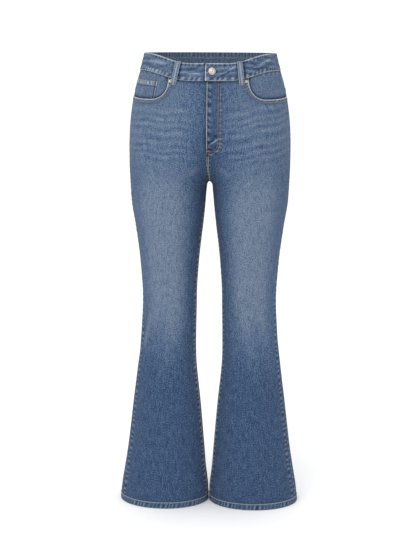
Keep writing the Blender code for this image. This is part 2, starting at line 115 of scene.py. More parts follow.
COLUMNS = ("z", "side", "centre", "front", "back", "mid", "full", "seam", "inseam")
SECTIONS = np.array([
    (-1.040, 0.2112, 0.1040, 0.0845, 0.0850, 0.018, 0.00, 20.0, 9.0),
    (-1.000, 0.2080, 0.1023, 0.0815, 0.0825, 0.017, 0.00, 19.5, 9.0),
    (-0.950, 0.2000, 0.1010, 0.0765, 0.0790, 0.016, 0.00, 19.0, 9.0),
    (-0.900, 0.1920, 0.0989, 0.0730, 0.0760, 0.014, 0.00, 18.0, 9.0),
    (-0.790, 0.1785, 0.0967, 0.0670, 0.0710, 0.010, 0.00, 16.0, 9.0),
    (-0.700, 0.1670, 0.0955, 0.0630, 0.0660, 0.007, 0.00, 14.0, 9.0),
    (-0.620, 0.1585, 0.0919, 0.0615, 0.0645, 0.005, 0.00, 12.0, 9.0),
    (-0.540, 0.1545, 0.0893, 0.0650, 0.0690, 0.006, 0.00, 9.0, 9.0),
    (-0.450, 0.1600, 0.0895, 0.0760, 0.0800, 0.006, 0.00, 5.0, 9.0),
    (-0.370, 0.1700, 0.0900, 0.0880, 0.0930, 0.005, 0.00, 2.0, 8.0),
    (-0.310, 0.1790, 0.0915, 0.0970, 0.1050, 0.004, 0.01, 0.0, 5.0),
    (-0.267, 0.1812, 0.0906, 0.1040, 0.1160, 0.002, 0.03, 0.0, 0.0),
    (-0.252, 0.1819, 0.0881, 0.1070, 0.1200, 0.002, 0.04, 0.0, 0.0),
    (-0.230, 0.1826, 0.0828, 0.1110, 0.1270, 0.001, 0.06, 0.0, 0.0),
    (-0.190, 0.1828, 0.0704, 0.1140, 0.1330, 0.000, 0.09, 0.0, 0.0),
    (-0.150, 0.1815, 0.0547, 0.1150, 0.1340, 0.000, 0.11, 0.0, 0.0),
    (-0.110, 0.1778, 0.0350, 0.1130, 0.1270, 0.000, 0.12, 0.0, 0.0),
    (-0.060, 0.1690, 0.0070, 0.1070, 0.1130, 0.000, 0.12, 0.0, 0.0),
    (-0.045, 0.1655, 0.0000, 0.1050, 0.1090, 0.000, 0.12, 0.0, 0.0),
    (-0.020, 0.1580, 0.0000, 0.1010, 0.1010, 0.000, 0.12, 0.0, 0.0),
    (0.030, 0.1448, 0.0000, 0.0960, 0.0940, 0.000, 0.12, 0.0, 0.0),
])

# Soft folds: half, angle and z of the middle, widths across and along, tilt, depth
FOLDS = np.array([
    (1, -95, -0.585, 0.014, 0.050, 8, 0.0040),
    (1, -80, -0.625, 0.014, 0.060, -6, 0.0045),
    (1, -100, -0.665, 0.015, 0.045, 10, 0.0035),
    (-1, -85, -0.595, 0.014, 0.055, -9, 0.0042),
    (-1, -105, -0.635, 0.014, 0.050, 7, 0.0040),
    (-1, -85, -0.672, 0.015, 0.045, -8, 0.0032),
    (1, -118, -0.318, 0.020, 0.050, -22, 0.0032),
    (-1, -114, -0.322, 0.020, 0.050, -24, 0.0030),
    (-1, 30, -0.620, 0.014, 0.070, 58, 0.0025),
    (1, 110, -0.560, 0.016, 0.060, -35, 0.0020),
])
FOLD_RADIUS = 0.075

# J-stitch of the fly, as x and z
FLY_TURN = np.array([(0.0270, -0.038), (0.0270, -0.167), (0.0262, -0.177), (0.0235, -0.1855),
                     (0.0185, -0.1915), (0.0110, -0.1965), (0.0020, -0.2005)])

# Short creases pressed into the cloth: half (1 is the wearer's left), from x, z to x, z, width, rise,
# and how pale the crease is, or, where that is below 0, how dark the shade painted in its trough is
PANEL_CREASES = np.array([
    (1, -0.0020, -0.1790, 0.0270, -0.1615, 0.0015, 0.0012, 0.80),
    (1, -0.0010, -0.1735, 0.0150, -0.1655, 0.0024, -0.0010, -0.85),
    (1, 0.0130, -0.1590, 0.0230, -0.1555, 0.0034, -0.0010, -0.95),
    (1, 0.0050, -0.1830, 0.0060, -0.2000, 0.0028, -0.0007, -0.60),
    (1, 0.0170, -0.1780, 0.0200, -0.1920, 0.0028, -0.0007, -0.45),
    (-1, 0.1310, -0.5570, 0.1500, -0.6600, 0.0050, 0.0008, 0.13),
    (-1, 0.1220, -0.5800, 0.1400, -0.6500, 0.0070, -0.0006, -0.10),
    (-1, 0.0180, -0.2260, 0.0500, -0.2480, 0.0060, 0.0008, 0.10),
    (1, 0.0200, -0.2280, 0.0520, -0.2500, 0.0060, 0.0008, 0.10),
])
BAND_CREASES = np.array([
    (1, 0.0250, -0.0290, 0.0500, -0.0170, 0.0018, -0.0012, -0.80),
    (1, 0.0300, -0.0240, 0.0640, -0.0050, 0.0020, 0.0009, 0.40),
    (1, 0.1050, -0.0080, 0.1380, 0.0100, 0.0022, 0.0010, 0.40),
    (1, 0.1000, -0.0160, 0.1420, -0.0020, 0.0024, -0.0009, -0.45),
    (-1, 0.0900, -0.0040, 0.1350, 0.0030, 0.0024, 0.0009, 0.45),
    (-1, 0.0880, -0.0120, 0.1420, -0.0050, 0.0026, -0.0009, -0.50),
    (-1, 0.0980, -0.0190, 0.1450, -0.0120, 0.0024, 0.0008, 0.40),
    (-1, 0.0200, -0.0140, 0.0540, -0.0120, 0.0024, -0.0008, -0.45),
    (-1, 0.0150, -0.0230, 0.0500, -0.0250, 0.0024, 0.0007, 0.35),
])


# ---- the surface ----

def ease(t):
    """Smooth step from 0 to 1, level at both ends: 3t^2 - 2t^3."""
    t = np.clip(t, 0.0, 1.0)
    return t * t * (3 - 2 * t)


def bell(value, middle, width):
    """Bell curve of height 1 round a middle."""
    return np.exp(-((value - middle) / width) ** 2)


def ripple(along, pitch, shift):
    """Uneven wave from -1 to 1: a sine of one pitch whose phase wanders as it goes."""
    turn = 2 * math.pi * along / pitch
    return np.sin(turn + 1.1 * np.sin(turn / 3.7 + shift) + 0.8 * np.sin(turn / 9.1 - shift))


def column(name, z):
    """One column of SECTIONS at heights z: cubics between rows that add no bumps of their own."""
    knots, values = SECTIONS[:, 0], SECTIONS[:, COLUMNS.index(name)]
    steps = np.diff(values) / np.diff(knots)
    before, after = steps[:-1], steps[1:]
    total = np.where(before * after > 0, before + after, 1.0)
    inside = np.where(before * after > 0, 2 * before * after / total, 0.0)
    slopes = np.concatenate([steps[:1], inside, steps[-1:]])
    i = np.clip(np.searchsorted(knots, z) - 1, 0, len(knots) - 2)
    span = knots[i + 1] - knots[i]
    t = (z - knots[i]) / span
    start = (1 + 2 * t) * values[i] + t * span * slopes[i]
    end = (3 - 2 * t) * values[i + 1] - (1 - t) * span * slopes[i + 1]
    return (1 - t) ** 2 * start + t ** 2 * end


def section(z):
    """Middle and half width of one half's section."""
    centre = column("centre", z)
    return centre, column("side", z) - centre


def sink(angle, z, half):
    """Depth of the soft folds: a sum of long bell-shaped troughs, each turned by its tilt."""
    total = np.zeros(np.broadcast(angle, z).shape)
    for _, turn, height, across, along, tilt, depth in FOLDS[FOLDS[:, 0] == half]:
        level = (angle - math.radians(turn)) * FOLD_RADIUS
        rise = z - height
        c, s = math.cos(math.radians(tilt)), math.sin(math.radians(tilt))
        total += depth * np.exp(-((rise * c - level * s) / across) ** 2
                                - ((level * c + rise * s) / along) ** 2)
    return total


def point(angle, z, half):
    """Surface of one half before mirroring: an ellipse round the section's middle at each height.

    Above the fork the depth reads a softened |x|, so that the halves join in a shallow groove.
    Below it the inner side of the leg moves out by FORK_HALF.
    """
    angle, z = np.broadcast_arrays(np.asarray(angle, float), np.asarray(z, float))
    centre, wide = section(z)
    x = centre + wide * np.cos(angle)
    room = np.maximum(centre, 1e-6)
    soft = room * np.tanh(GROOVE * np.clip(z - FORK, 0.0, None) / room)
    joined = np.sqrt(x * x + soft * soft * (1 - (x / (centre + wide)) ** 2))
    bent = np.where(z > FORK, joined, x)
    level = np.clip((bent - centre) / wide, -1.0, 1.0)
    depth = np.sqrt(1 - level ** 2) * (1 + column("full", z) * level ** 2)
    front = np.sin(angle) >= 0
    y = column("mid", z) + np.where(front, -column("front", z), column("back", z)) * depth
    opening = FORK_HALF * (1 - np.exp(-np.clip(FORK - z, 0.0, None) / FORK_DROP))
    x = x + opening * ((1 - np.cos(angle)) / 2) ** 3
    inward = sink(angle, z, half)
    return np.stack([x - inward * np.cos(angle), y + inward * np.sin(angle), z], axis=-1)


def skin(angle, z, half):
    """Points and outward normals: the normal is the cross of a small rise and a small turn."""
    small_turn, small_drop = 1e-4, 1e-5
    base = point(angle, z, half)
    turn = point(angle + small_turn, z, half) - point(angle - small_turn, z, half)
    rise = base - point(angle, z - small_drop, half)
    normal = np.cross(rise, turn)
    normal /= np.linalg.norm(normal, axis=-1, keepdims=True)
    base = base + np.array([SEAM / 2, 0, 0])
    mirror = np.array([half, 1, 1])
    return base * mirror, normal * mirror


def rim_height(angle):
    """Top edge of the waistband: level at the back and sides, dipping at the front."""
    share = (DIP_OUTER - np.abs(np.cos(angle))) / (DIP_OUTER - DIP_INNER)
    return RIM - RIM_DIP * ease(share) * (np.sin(angle) > 0)


def band_seam(angle):
    """Lower edge of the waistband."""
    return rim_height(angle) - BAND_HEIGHT


def yoke_seam(angle):
    """Seam between the yoke and the back panel, lowest at the centre back."""
    return YOKE_SIDE + (YOKE_CENTRE - YOKE_SIDE) * np.clip(-angle / (math.pi / 2), 0, 1)


def angle_at(x, z):
    """Angle at which one half's section passes x on its front."""
    centre, wide = section(np.asarray(z, float))
    return np.arccos(np.clip((x - centre) / wide, -1.0, 1.0))


def side_edge(z, face):
    """Angle of the side seam; face 1 is the front panel's edge, -1 the back panel's."""
    return np.radians(column("seam", z)) + face * SEAM / 2 / column("front", z)


def inner_edge(z, face, half):
    """Angle of a panel's inner edge: the rise seam above the fork, the inseam below it."""
    centre, wide = section(z)
    lap = -half * FLY_LAP * ease((z - FORK) / FLY_FADE) if face > 0 else 0.0
    rise = np.arccos(np.clip((lap - centre) / wide, -1.0, 1.0))
    inseam = math.pi - face * np.radians(column("inseam", z)) - SEAM / 2 / column("front", z)
    return face * np.where(z > FORK, rise, inseam)


def panel_angle(share, z, face, half):
    """Angle at a share of the way from the side seam to the inner edge."""
    side = side_edge(z, face)
    return side + share * (inner_edge(z, face, half) - side)


def scoop_line(count):
    """Pocket opening from the side seam to the waistband, as angles and heights."""
    level = np.linspace(0.0, 1.0, count // 2 + 1)[:-1]
    low_angle = angle_at(SCOOP_LOW_X, SCOOP_LOW_Z)
    flat_z = SCOOP_SIDE_Z + (SCOOP_LOW_Z - SCOOP_SIDE_Z) * np.sin(level * math.pi / 2)
    bend = np.linspace(0.0, math.pi / 2, count - count // 2 + 1)
    top_z = band_seam(angle_at(SCOOP_TOP_X, band_seam(LOOP_FRONT)))
    bend_z = top_z + (SCOOP_LOW_Z - top_z) * np.cos(bend) ** SCOOP_SQUARE
    bend_x = SCOOP_LOW_X + (SCOOP_TOP_X - SCOOP_LOW_X) * np.sin(bend) ** SCOOP_SQUARE
    bend_angle = angle_at(bend_x, bend_z)
    return np.concatenate([level * low_angle, bend_angle]), np.concatenate([flat_z, bend_z])


def stretch(angle, z):
    """Metres of cloth for each radian of angle."""
    wide = section(z)[1]
    depth = np.where(np.sin(angle) >= 0, column("front", z), column("back", z))
    return np.hypot(wide * np.sin(angle), depth * np.cos(angle))


def from_edges(angle, z, face, half):
    """Metres of cloth from a panel's side seam and from its inner edge."""
    side, inner = side_edge(z, face), inner_edge(z, face, half)
    return (face * (angle - side) * stretch(side, z),
            face * (inner - angle) * np.maximum(stretch(inner, z), LEAST_STRETCH))


SCOOP_EDGE = point(*scoop_line(60), 0)
FLY_EDGE = np.stack([np.interp(np.linspace(0, 6, 50), np.arange(7), FLY_TURN[:, k])
                     for k in (0, 1)], axis=-1)


def from_line(here, line):
    """Distance of each point from a line, as the least over the points along it."""
    return np.linalg.norm(here[..., None, :] - line, axis=-1).min(axis=-1)


def creases(table, half, x, z):
    """Relief and paleness of short creases, with painted shade where the paleness is below 0: a bell
    across each one, faded at its ends.
    """
    rise = np.zeros(np.shape(x))
    worn = np.zeros(np.shape(x))
    for _, x1, z1, x2, z2, width, height, pale in table[table[:, 0] == half]:
        run = np.array([x2 - x1, z2 - z1])
        length = np.linalg.norm(run)
        along = ((x - x1) * run[0] + (z - z1) * run[1]) / length
        across = ((z - z1) * run[0] - (x - x1) * run[1]) / length
        shape = bell(across, 0.0, width) * ease(along / length * 4) * ease(4 - along / length * 4)
        rise += height * shape
        # a pale value below 0 is painted shade in the crease's trough
        worn += pale * shape
    return rise, worn


# ---- finishes: relief in metres, then wash, worn and shade ----

def tones(wash, worn, shade):
    """Three tones from 0 to 1 in one array: wash, worn, shade."""
    return np.clip(np.stack(np.broadcast_arrays(wash, worn, shade, 1.0), axis=-1), 0.0, 1.0)


def split(wave):
    """Crests and troughs of a wave, each from 0 to 1."""
    return np.clip(wave, 0, 1), np.clip(-wave, 0, 1)


def roping(near, along, pitch, shift, deep):
    """Puckers beside a seam: waves along it inside a band `near`, as relief, crests and troughs."""
    wave = near * ripple(along, pitch, shift)
    return (deep * wave,) + split(wave)


def gathered(*weighted):
    """Relief, worn and shade of puckers together: each with its weights for worn and for shade."""
    return (sum(rope[0] for rope, _, _ in weighted),
            sum(worn * rope[1] for rope, worn, _ in weighted),
            sum(shade * rope[2] for rope, _, shade in weighted))


def leg_wash(angle, z, half, face):
    """How washed a leg is: pale down the middle of the thigh and knee, dark at its edges."""
    level = np.cos(angle)
    sides = ease((level + 0.98) / 0.80) * (1 - 0.66 * ease((level - 0.42) / 0.5))
    x = point(angle, z, 0)[..., 0]
    deep = 0.66 + 0.30 * ease((-0.115 - z) / 0.05)
    middle = 1 - deep * bell(x, 0.0, 0.051 + 0.007 * half) * ease((z - FORK + 0.06) / 0.08)
    hips = 0.50 + 0.04 * bell(z, -0.15, 0.05)
    thigh = 0.74 if face > 0 else 0.52
    down = ease((-0.20 - z) / 0.10)
    uneven = 0.014 * ripple(x + 0.2 * z, 0.055, half) + 0.30 * (x - 0.09) * half
    knee = ease((z + 0.765 + uneven) / 0.245) ** 1.25
    shin = 0.19
    main = hips + (thigh - hips) * down
    across = 1 - ease((-0.17 - z) / 0.10) * (1 - sides)
    return shin + (main - shin) * knee * across * middle


def crease_wash(angle, z, half):
    """Darker troughs where the soft folds run, and paler cloth below each one."""
    return -22.0 * sink(angle, z, half) + 18.0 * sink(angle, z + 0.012, half)


def whiskers(angle, z, half):
    """Streaks that fan out over the hips: waves across height that tilt outwards."""
    x = np.abs(point(angle, z, 0)[..., 0])
    lift = 0.20 * x if half > 0 else 0.045 * x
    place = ease((x - 0.015) / 0.05) * (1 - 0.5 * ease((x - 0.15) / 0.03))
    high = ease((z + 0.245) / 0.05) * ease((-0.078 - z) / 0.03)
    wave = ripple(z - lift + 0.002 * np.sin(x * 90.0 + half), 0.0180, 0.7 + half)
    return place * high * wave * (0.7 + 0.3 * np.sin(x * 60.0 + z * 140.0 + half))


def front_finish(angle, z, half):
    """Front panel: whiskers, the fly, the pocket opening's fold, and puckers at the seams."""
    side, inner = from_edges(angle, z, 1, half)
    here = point(angle, z, 0)
    x = here[..., 0]
    scoop = from_line(here, SCOOP_EDGE)
    low = ease((-0.12 - z) / 0.2)
    leg = (z < FORK - 0.004) * 1.0

    by_side = bell(side, 0.0075 + 0.0020 * low, 0.0042) * (0.35 + 0.65 * low)
    relief, worn, shade = gathered(
        (roping(by_side, z, 0.0125, half, 5e-4), 0.30, 1.15),
        (roping(bell(inner, 0.0105, 0.0050) * leg, z, 0.0118, 2.0 * half, 4e-4), 0.42, 1.40),
        (roping(bell(scoop, 0.0048, 0.0026), x - z, 0.0068, 1.5 * half, 3.5e-4), 0.40, 0.75))
    shade += 0.85 * bell(band_seam(angle) - z, 0.0, 0.0034)

    relief += 6e-4 * (1 - ease((scoop - 0.0078) / 0.0018))
    worn += 0.95 * bell(scoop, 0.0006, 0.0013)
    shade += 0.35 * bell(scoop, 0.0098, 0.0016) + 0.22 * bell(scoop, 0.0058, 0.0030)

    rise = ease((z - FORK) / 0.01)
    if half > 0:
        fly = ease((z + 0.2010) / 0.006)
        turn = from_line(np.stack([x, z], axis=-1), FLY_EDGE)
        within = (x < np.interp(-z, -FLY_TURN[:, 1], FLY_TURN[:, 0])) * fly
        relief += 5e-4 * within * (1 - bell(turn, 0.0, 0.003)) - 5e-4 * bell(turn, 0.0, 0.0014)
        blobs = ripple(z + 0.5 * inner, 0.0165, 0.4) * bell(inner, 0.0068, 0.0042) * fly
        crest, trough = split(blobs)
        relief += 6e-4 * blobs
        worn += 0.34 * crest + 0.10 * bell(turn, 0.0, 0.0030)
        shade += 0.65 * trough + 0.30 * bell(turn, 0.0050, 0.0024)
        shade += 0.30 * within * (0.4 + 0.6 * ripple(z, 0.023, 1.0) ** 2)
        mottle = ripple(z + 0.3 * x, 0.0105, 3.0) * bell(turn, 0.0, 0.0046) * (z < -0.052)
        crest, trough = split(mottle)
        relief += 3e-4 * mottle
        worn += 0.30 * crest
        shade += 0.85 * trough
        relief += 7e-4 * (1 - ease((inner - 0.004) / 0.003)) * fly
        worn += (0.85 + 0.30 * ripple(z, 0.0062, 2.0)) * bell(inner, 0.0, 0.0020) * fly
        shade += 0.55 * bell(inner, 0.0034, 0.0012) * fly
    else:
        relief -= 6e-4 * (1 - ease((inner - 0.001) / 0.006)) * rise
        shade += 0.70 * np.exp(-np.clip(inner, 0, None) / 0.0036) * ease((z + 0.20) / 0.02)
    seam_row = roping(bell(np.abs(x), 0.0030, 0.0022) * rise * (z < -0.196), z, 0.0090, 1.0, 3e-4)
    relief += seam_row[0]
    worn += 0.30 * seam_row[1]
    shade += 0.60 * seam_row[2] + 0.45 * bell(x, 0.0, 0.0030) * rise * (z < -0.2)
    shade += 0.28 * bell(x, 0.0, 0.020) * bell(z, -0.200, 0.035)

    fold, pale = creases(PANEL_CREASES, half, x, z)
    # crease paleness above 0 goes to worn; below 0 it is painted shade in the crease's trough
    light, dark = split(pale)
    streak = whiskers(angle, z, half)
    relief += fold + 2.5e-4 * streak
    wash = leg_wash(angle, z, half, 1) + 0.19 * streak
    wash += 0.06 * bell(x, 0.085, 0.035) * bell(z, -0.115, 0.03)
    wash += crease_wash(angle, z, half)
    # painted light: the inner side of each leg is lightened against the shade that falls between the
    # legs
    wash += (0.22 - 0.08 * half) * bell(inner, 0.0, 0.018) * leg
    return relief, tones(wash, worn + light, shade + dark)


def back_finish(angle, z, half):
    """Back panel: washed over the seat, puckered at the side seam, inseam and centre back."""
    side, inner = from_edges(angle, z, -1, half)
    leg = (z < FORK - 0.004) * 1.0
    x = point(angle, z, 0)[..., 0]
    drop = yoke_seam(angle) - z
    relief, worn, shade = gathered(
        (roping(bell(side, 0.0050, 0.0035), z, 0.0125, 3.0 + half, 4e-4), 0.34, 0.42),
        (roping(bell(inner, 0.0042, 0.0028) * leg, z, 0.0105, 4.0 + half, 4e-4), 0.34, 0.42),
        (roping(bell(x, 0.0052, 0.0030) * (1 - leg), z, 0.0100, 1.0, 4e-4), 0.34, 0.42),
        (roping(bell(drop, 0.0050, 0.0028), x, 0.0100, 2.0 + half, 3.5e-4), 0.34, 0.42))
    relief += 5e-4 * (1 - ease((drop - 0.0082) / 0.0016))
    seat = 0.15 * bell(x, 0.095, 0.06) * bell(z, -0.165, 0.06)
    wash = leg_wash(angle, z, half, -1) + seat + crease_wash(angle, z, half)
    return relief, tones(wash, worn, shade)


def yoke_finish(angle, z, half):
    """Yoke: a little washed, with light puckers by its seams."""
    x = point(angle, z, 0)[..., 0]
    low, high = z - yoke_seam(angle), band_seam(angle) - z
    relief, worn, shade = gathered(
        (roping(bell(low, 0.0028, 0.0025), x, 0.0095, 2.0 + half, 3e-4), 0.30, 0.45),
        (roping(bell(high, 0.0030, 0.0025), x, 0.0095, half, 3e-4), 0.30, 0.45))
    return relief, tones(0.44 + 0.08 * bell(x, 0.09, 0.05), worn, shade)


def facing_finish(angle, z, half):
    """Pocket facing: shaded where it goes under the front panel's edge."""
    here = point(angle, z, 0)
    top = band_seam(angle) - z
    shade = 1.10 * bell(from_line(here, SCOOP_EDGE), 0.0, 0.0052) + 0.55 * bell(top, 0.0, 0.003)
    under = roping(bell(top, 0.003, 0.0025), here[..., 0], 0.010, half, 3e-4)
    return under[0], tones(0.52, 0.25 * under[1], shade + 0.3 * under[2])


def coin_side(t):
    """Inner edge of the coin pocket, as x at a share of the way down."""
    return COIN_TOP_X + (COIN_LOW_X - COIN_TOP_X) * t


def coin_finish(angle, z, half):
    """Coin pocket: a folded, puckered top edge and a worn side edge."""
    here = point(angle, z, 0)
    x, outer_x, width = here[..., 0], 0.172, 0.060
    top = COIN_TOP_Z + COIN_SLOPE * (outer_x - x) / width - z
    side = x - coin_side((COIN_TOP_Z - z) / COIN_DEPTH)
    rope = roping(bell(top, 0.0050, 0.0034), x, 0.0070, 2.0, 3e-4)
    scoop = from_line(here, SCOOP_EDGE)
    relief = rope[0] + 3e-4 * (1 - ease((top - 0.0095) / 0.0015))
    worn = 0.45 * rope[1] + 0.50 * bell(top, 0.0, 0.0014) + 0.35 * bell(side, 0.0, 0.0016)
    worn += 0.30 * bell(top, 0.0056, 0.0040)
    shade = 0.80 * rope[2] + 0.80 * bell(top, 0.0118, 0.0014) + 1.10 * bell(scoop, 0.0, 0.0052)
    shade += 0.30 * bell(side, 0.0036, 0.0030)
    return relief, tones(0.50, worn, shade + 0.35 * bell(side, 0.0030, 0.0012))


def band_finish(angle, z, half):
    """Waistband: worn along its folded edges, with creases and puckers by its stitching."""
    wrapped = (angle + math.pi) % (2 * math.pi) - math.pi
    left = np.abs(wrapped) < math.pi / 2
    turn = np.where(np.cos(wrapped) >= 0, wrapped, np.sign(wrapped) * math.pi - wrapped)
    top, low = rim_height(angle) - z, z - band_seam(angle)
    x = point(angle, z, 0)[..., 0]
    s = turn * WAIST_RADIUS * np.where(left, 1.0, -1.0)
    rope = roping(bell(top, 0.0034, 0.0034), s, 0.0088, 1.0, 3e-4)
    lower = roping(bell(low, 0.0048, 0.0038), s + 0.4 * z, 0.0098, 2.0, 4.5e-4)
    cross = roping(bell(low, 0.0150, 0.0080), z + 0.10 * s, 0.0046, 4.0, 2e-4)
    front = np.sin(angle) > 0
    sides = zip(creases(BAND_CREASES, 1, x, z), creases(BAND_CREASES, -1, -x, z))
    fold, pale = (np.where(x > 0, one, other) * front for one, other in sides)
    drag = 2.5e-4 * np.sin(z * 520.0 + 3.0 * np.sin(s * 31.0)) * np.sin(s * 57.0 + 1.0)
    broken = 0.5 + 0.5 * np.sin(s * 83.0 + 2.0 * np.sin(z * 300.0))
    # crease paleness above 0 goes to worn; below 0 it is painted shade in the crease's trough
    light, dark = split(pale)
    crest, trough = split(drag)
    relief = rope[0] + lower[0] + fold + drag + cross[0] * broken
    worn = 0.26 * rope[1] + 0.30 * lower[1] + 0.80 * bell(top, 0.0, 0.0015)
    worn += 0.55 * bell(low, 0.0, 0.0012) + light + 700 * crest + 0.16 * cross[1] * broken
    shade = 0.45 * rope[2] + 0.65 * lower[2] + dark + 1400 * trough + 0.40 * cross[2] * broken
    shade += 0.30 * bell(top, 0.0042, 0.0012) + 0.35 * bell(low, 0.0, 0.0010)
    lapped = (angle > math.pi) & front
    worn += 0.95 * bell(x, LAP_END_X, 0.0018) * lapped
    shade += 0.80 * bell(x, LAP_END_X - 0.0005, 0.0022) * (angle < math.pi) * front
    # shadows beside the two front belt loops: x at the top edge, lean, depth
    for place, lean, deep in ((-0.0594, -0.16, 0.7), (-0.0752, -0.16, 0.4), (0.0772, 0.06, 0.7),
                              (0.0614, 0.06, 0.4)):
        shade += deep * bell(x, place + lean * top, 0.0024) * front
    wash = 0.41 - 0.07 * (x > 0) + 0.10 * np.sin(s * 40.0) * np.cos(z * 70.0)
    return relief, tones(wash, worn, shade)


def band_inside(angle, z, half):
    """Inside of the waistband: puckers under the top edge and a worn line where it is stitched."""
    top = rim_height(angle) - z
    wave = ripple(angle * WAIST_RADIUS, 0.0080, 1.0)
    crest, trough = split(wave)
    near = ease((0.014 - top) / 0.008)
    worn = 0.10 * crest * near + 0.18 * bell(top, BAND_INSIDE_ROW, 0.0016)
    shade = 0.50 * trough * near + 0.25 * bell(top, 0.0, 0.002)
    return 5e-4 * wave * near, tones(0.54, worn, shade)


def pocket_finish(share, t, half):
    """Back pocket by its own shares across and down: a folded top and worn, puckered edges."""
    size = 0.13
    x, top = share * size, t * size
    edge = np.minimum(np.minimum(share, 1 - share), 1 - t) * size
    relief, worn, shade = gathered(
        (roping(bell(edge, 0.0045, 0.0028), x + t * 0.12, 0.0085, 2.0 * half, 3e-4), 0.35, 0.35),
        (roping(bell(top, 0.0080, 0.0050), x, 0.0085, half, 3e-4), 0.30, 0.30))
    relief += 4e-4 * (1 - ease((top - 0.0150) / 0.0016))
    worn += 0.45 * bell(edge, 0.0, 0.0014) + 0.5 * bell(top, 0, 0.0015)
    wash = 0.54 + 0.08 * bell(share, 0.5, 0.35) * bell(t, 0.45, 0.35)
    return relief, tones(wash, worn, shade)


def hem_finish(angle, z, half):
    """Hem: strong slanted puckers between its stitched top and its worn lower edge."""
    up = z - HEM
    s = angle * HEM_RADIUS
    wave = ripple(s + 0.22 * half * up, 0.0086, 1.0 + half)
    wave = wave * (0.65 + 0.35 * np.sin(s * 97.0 + half))
    crest, trough = split(wave)
    near = bell(up, 0.0062, 0.0062)
    relief = 6e-4 * wave * near + 3e-4 * bell(up, 0.0146, 0.002)
    worn = 0.32 * crest * near + 0.42 * bell(up, 0.0, 0.0014) + 0.25 * bell(up, 0.0146, 0.0014)
    shade = 0.85 * trough * near + 0.6 * bell(up, HEM_HEIGHT, 0.0010)
    return relief, tones(0.26, worn, shade)


# ---- shader nodes ----

def add(tree, kind, sockets=None, **settings):
    """A shader node; each socket takes a plain value or is linked from another node's output."""
    made = tree.nodes.new("ShaderNode" + kind)
    for key, value in settings.items():
        setattr(made, key, value)
    for key, value in (sockets or {}).items():
        if isinstance(value, bpy.types.NodeSocket):
            tree.links.new(value, made.inputs[key])
        else:
            made.inputs[key].default_value = value
    return made


def work_out(tree, operation, *values):
    """Output of a Math node."""
    return add(tree, "Math", dict(enumerate(values)), operation=operation).outputs[0]


def blended(tree, share, first, second, kind="MIX"):
    """Output of two colours mixed by a share."""
    mixed = add(tree, "Mix", {0: share, 6: first, 7: second}, data_type="RGBA", blend_type=kind)
    return mixed.outputs[2]


def join(tree, output, shader, socket):
    """Links a node's output to a socket of the material's shader."""
    tree.links.new(output, shader.inputs[socket])


def bumped(tree, shader, height, strength, distance):
    """Bump from a height on the material's shader."""
    bump = add(tree, "Bump", {"Height": height, "Strength": strength, "Distance": distance})
    join(tree, bump.outputs[0], shader, "Normal")


def new_material(name, rough, sheen=0.0, gloss=0.5):
    """An empty material with its Principled shader's even values set."""
    material = bpy.data.materials.new(name)
    material.use_nodes = True
    shader = material.node_tree.nodes["Principled BSDF"]
    shader.inputs["Roughness"].default_value = rough
    shader.inputs["Sheen Weight"].default_value = sheen
    shader.inputs["Sheen Roughness"].default_value = 0.5
    shader.inputs["Specular IOR Level"].default_value = gloss
    return material, material.node_tree, shader


def noise_at(tree, place, across, along, detail):
    """Noise on the cloth's own map, with its grains per metre across and along."""
    scaled = add(tree, "Mapping", {"Vector": place, "Scale": (across, along, 1.0)})
    noise = add(tree, "TexNoise", {"Vector": scaled.outputs[0], "Scale": 1.0, "Detail": detail},
                noise_dimensions="2D")
    return noise.outputs["Fac"]


def noise_in(tree, scale, detail):
    """Noise through the object's own space."""
    place = add(tree, "TexCoord").outputs["Object"]
    return add(tree, "TexNoise", {"Vector": place, "Scale": scale, "Detail": detail}).outputs["Fac"]


DENIM_RAMP = (
    (0.00, (0.014, 0.033, 0.080, 1)),
    (0.20, (0.030, 0.062, 0.131, 1)),
    (0.35, (0.048, 0.088, 0.162, 1)),
    (0.52, (0.080, 0.124, 0.199, 1)),
    (0.72, (0.100, 0.139, 0.205, 1)),
    (1.00, (0.165, 0.205, 0.265, 1)),
)


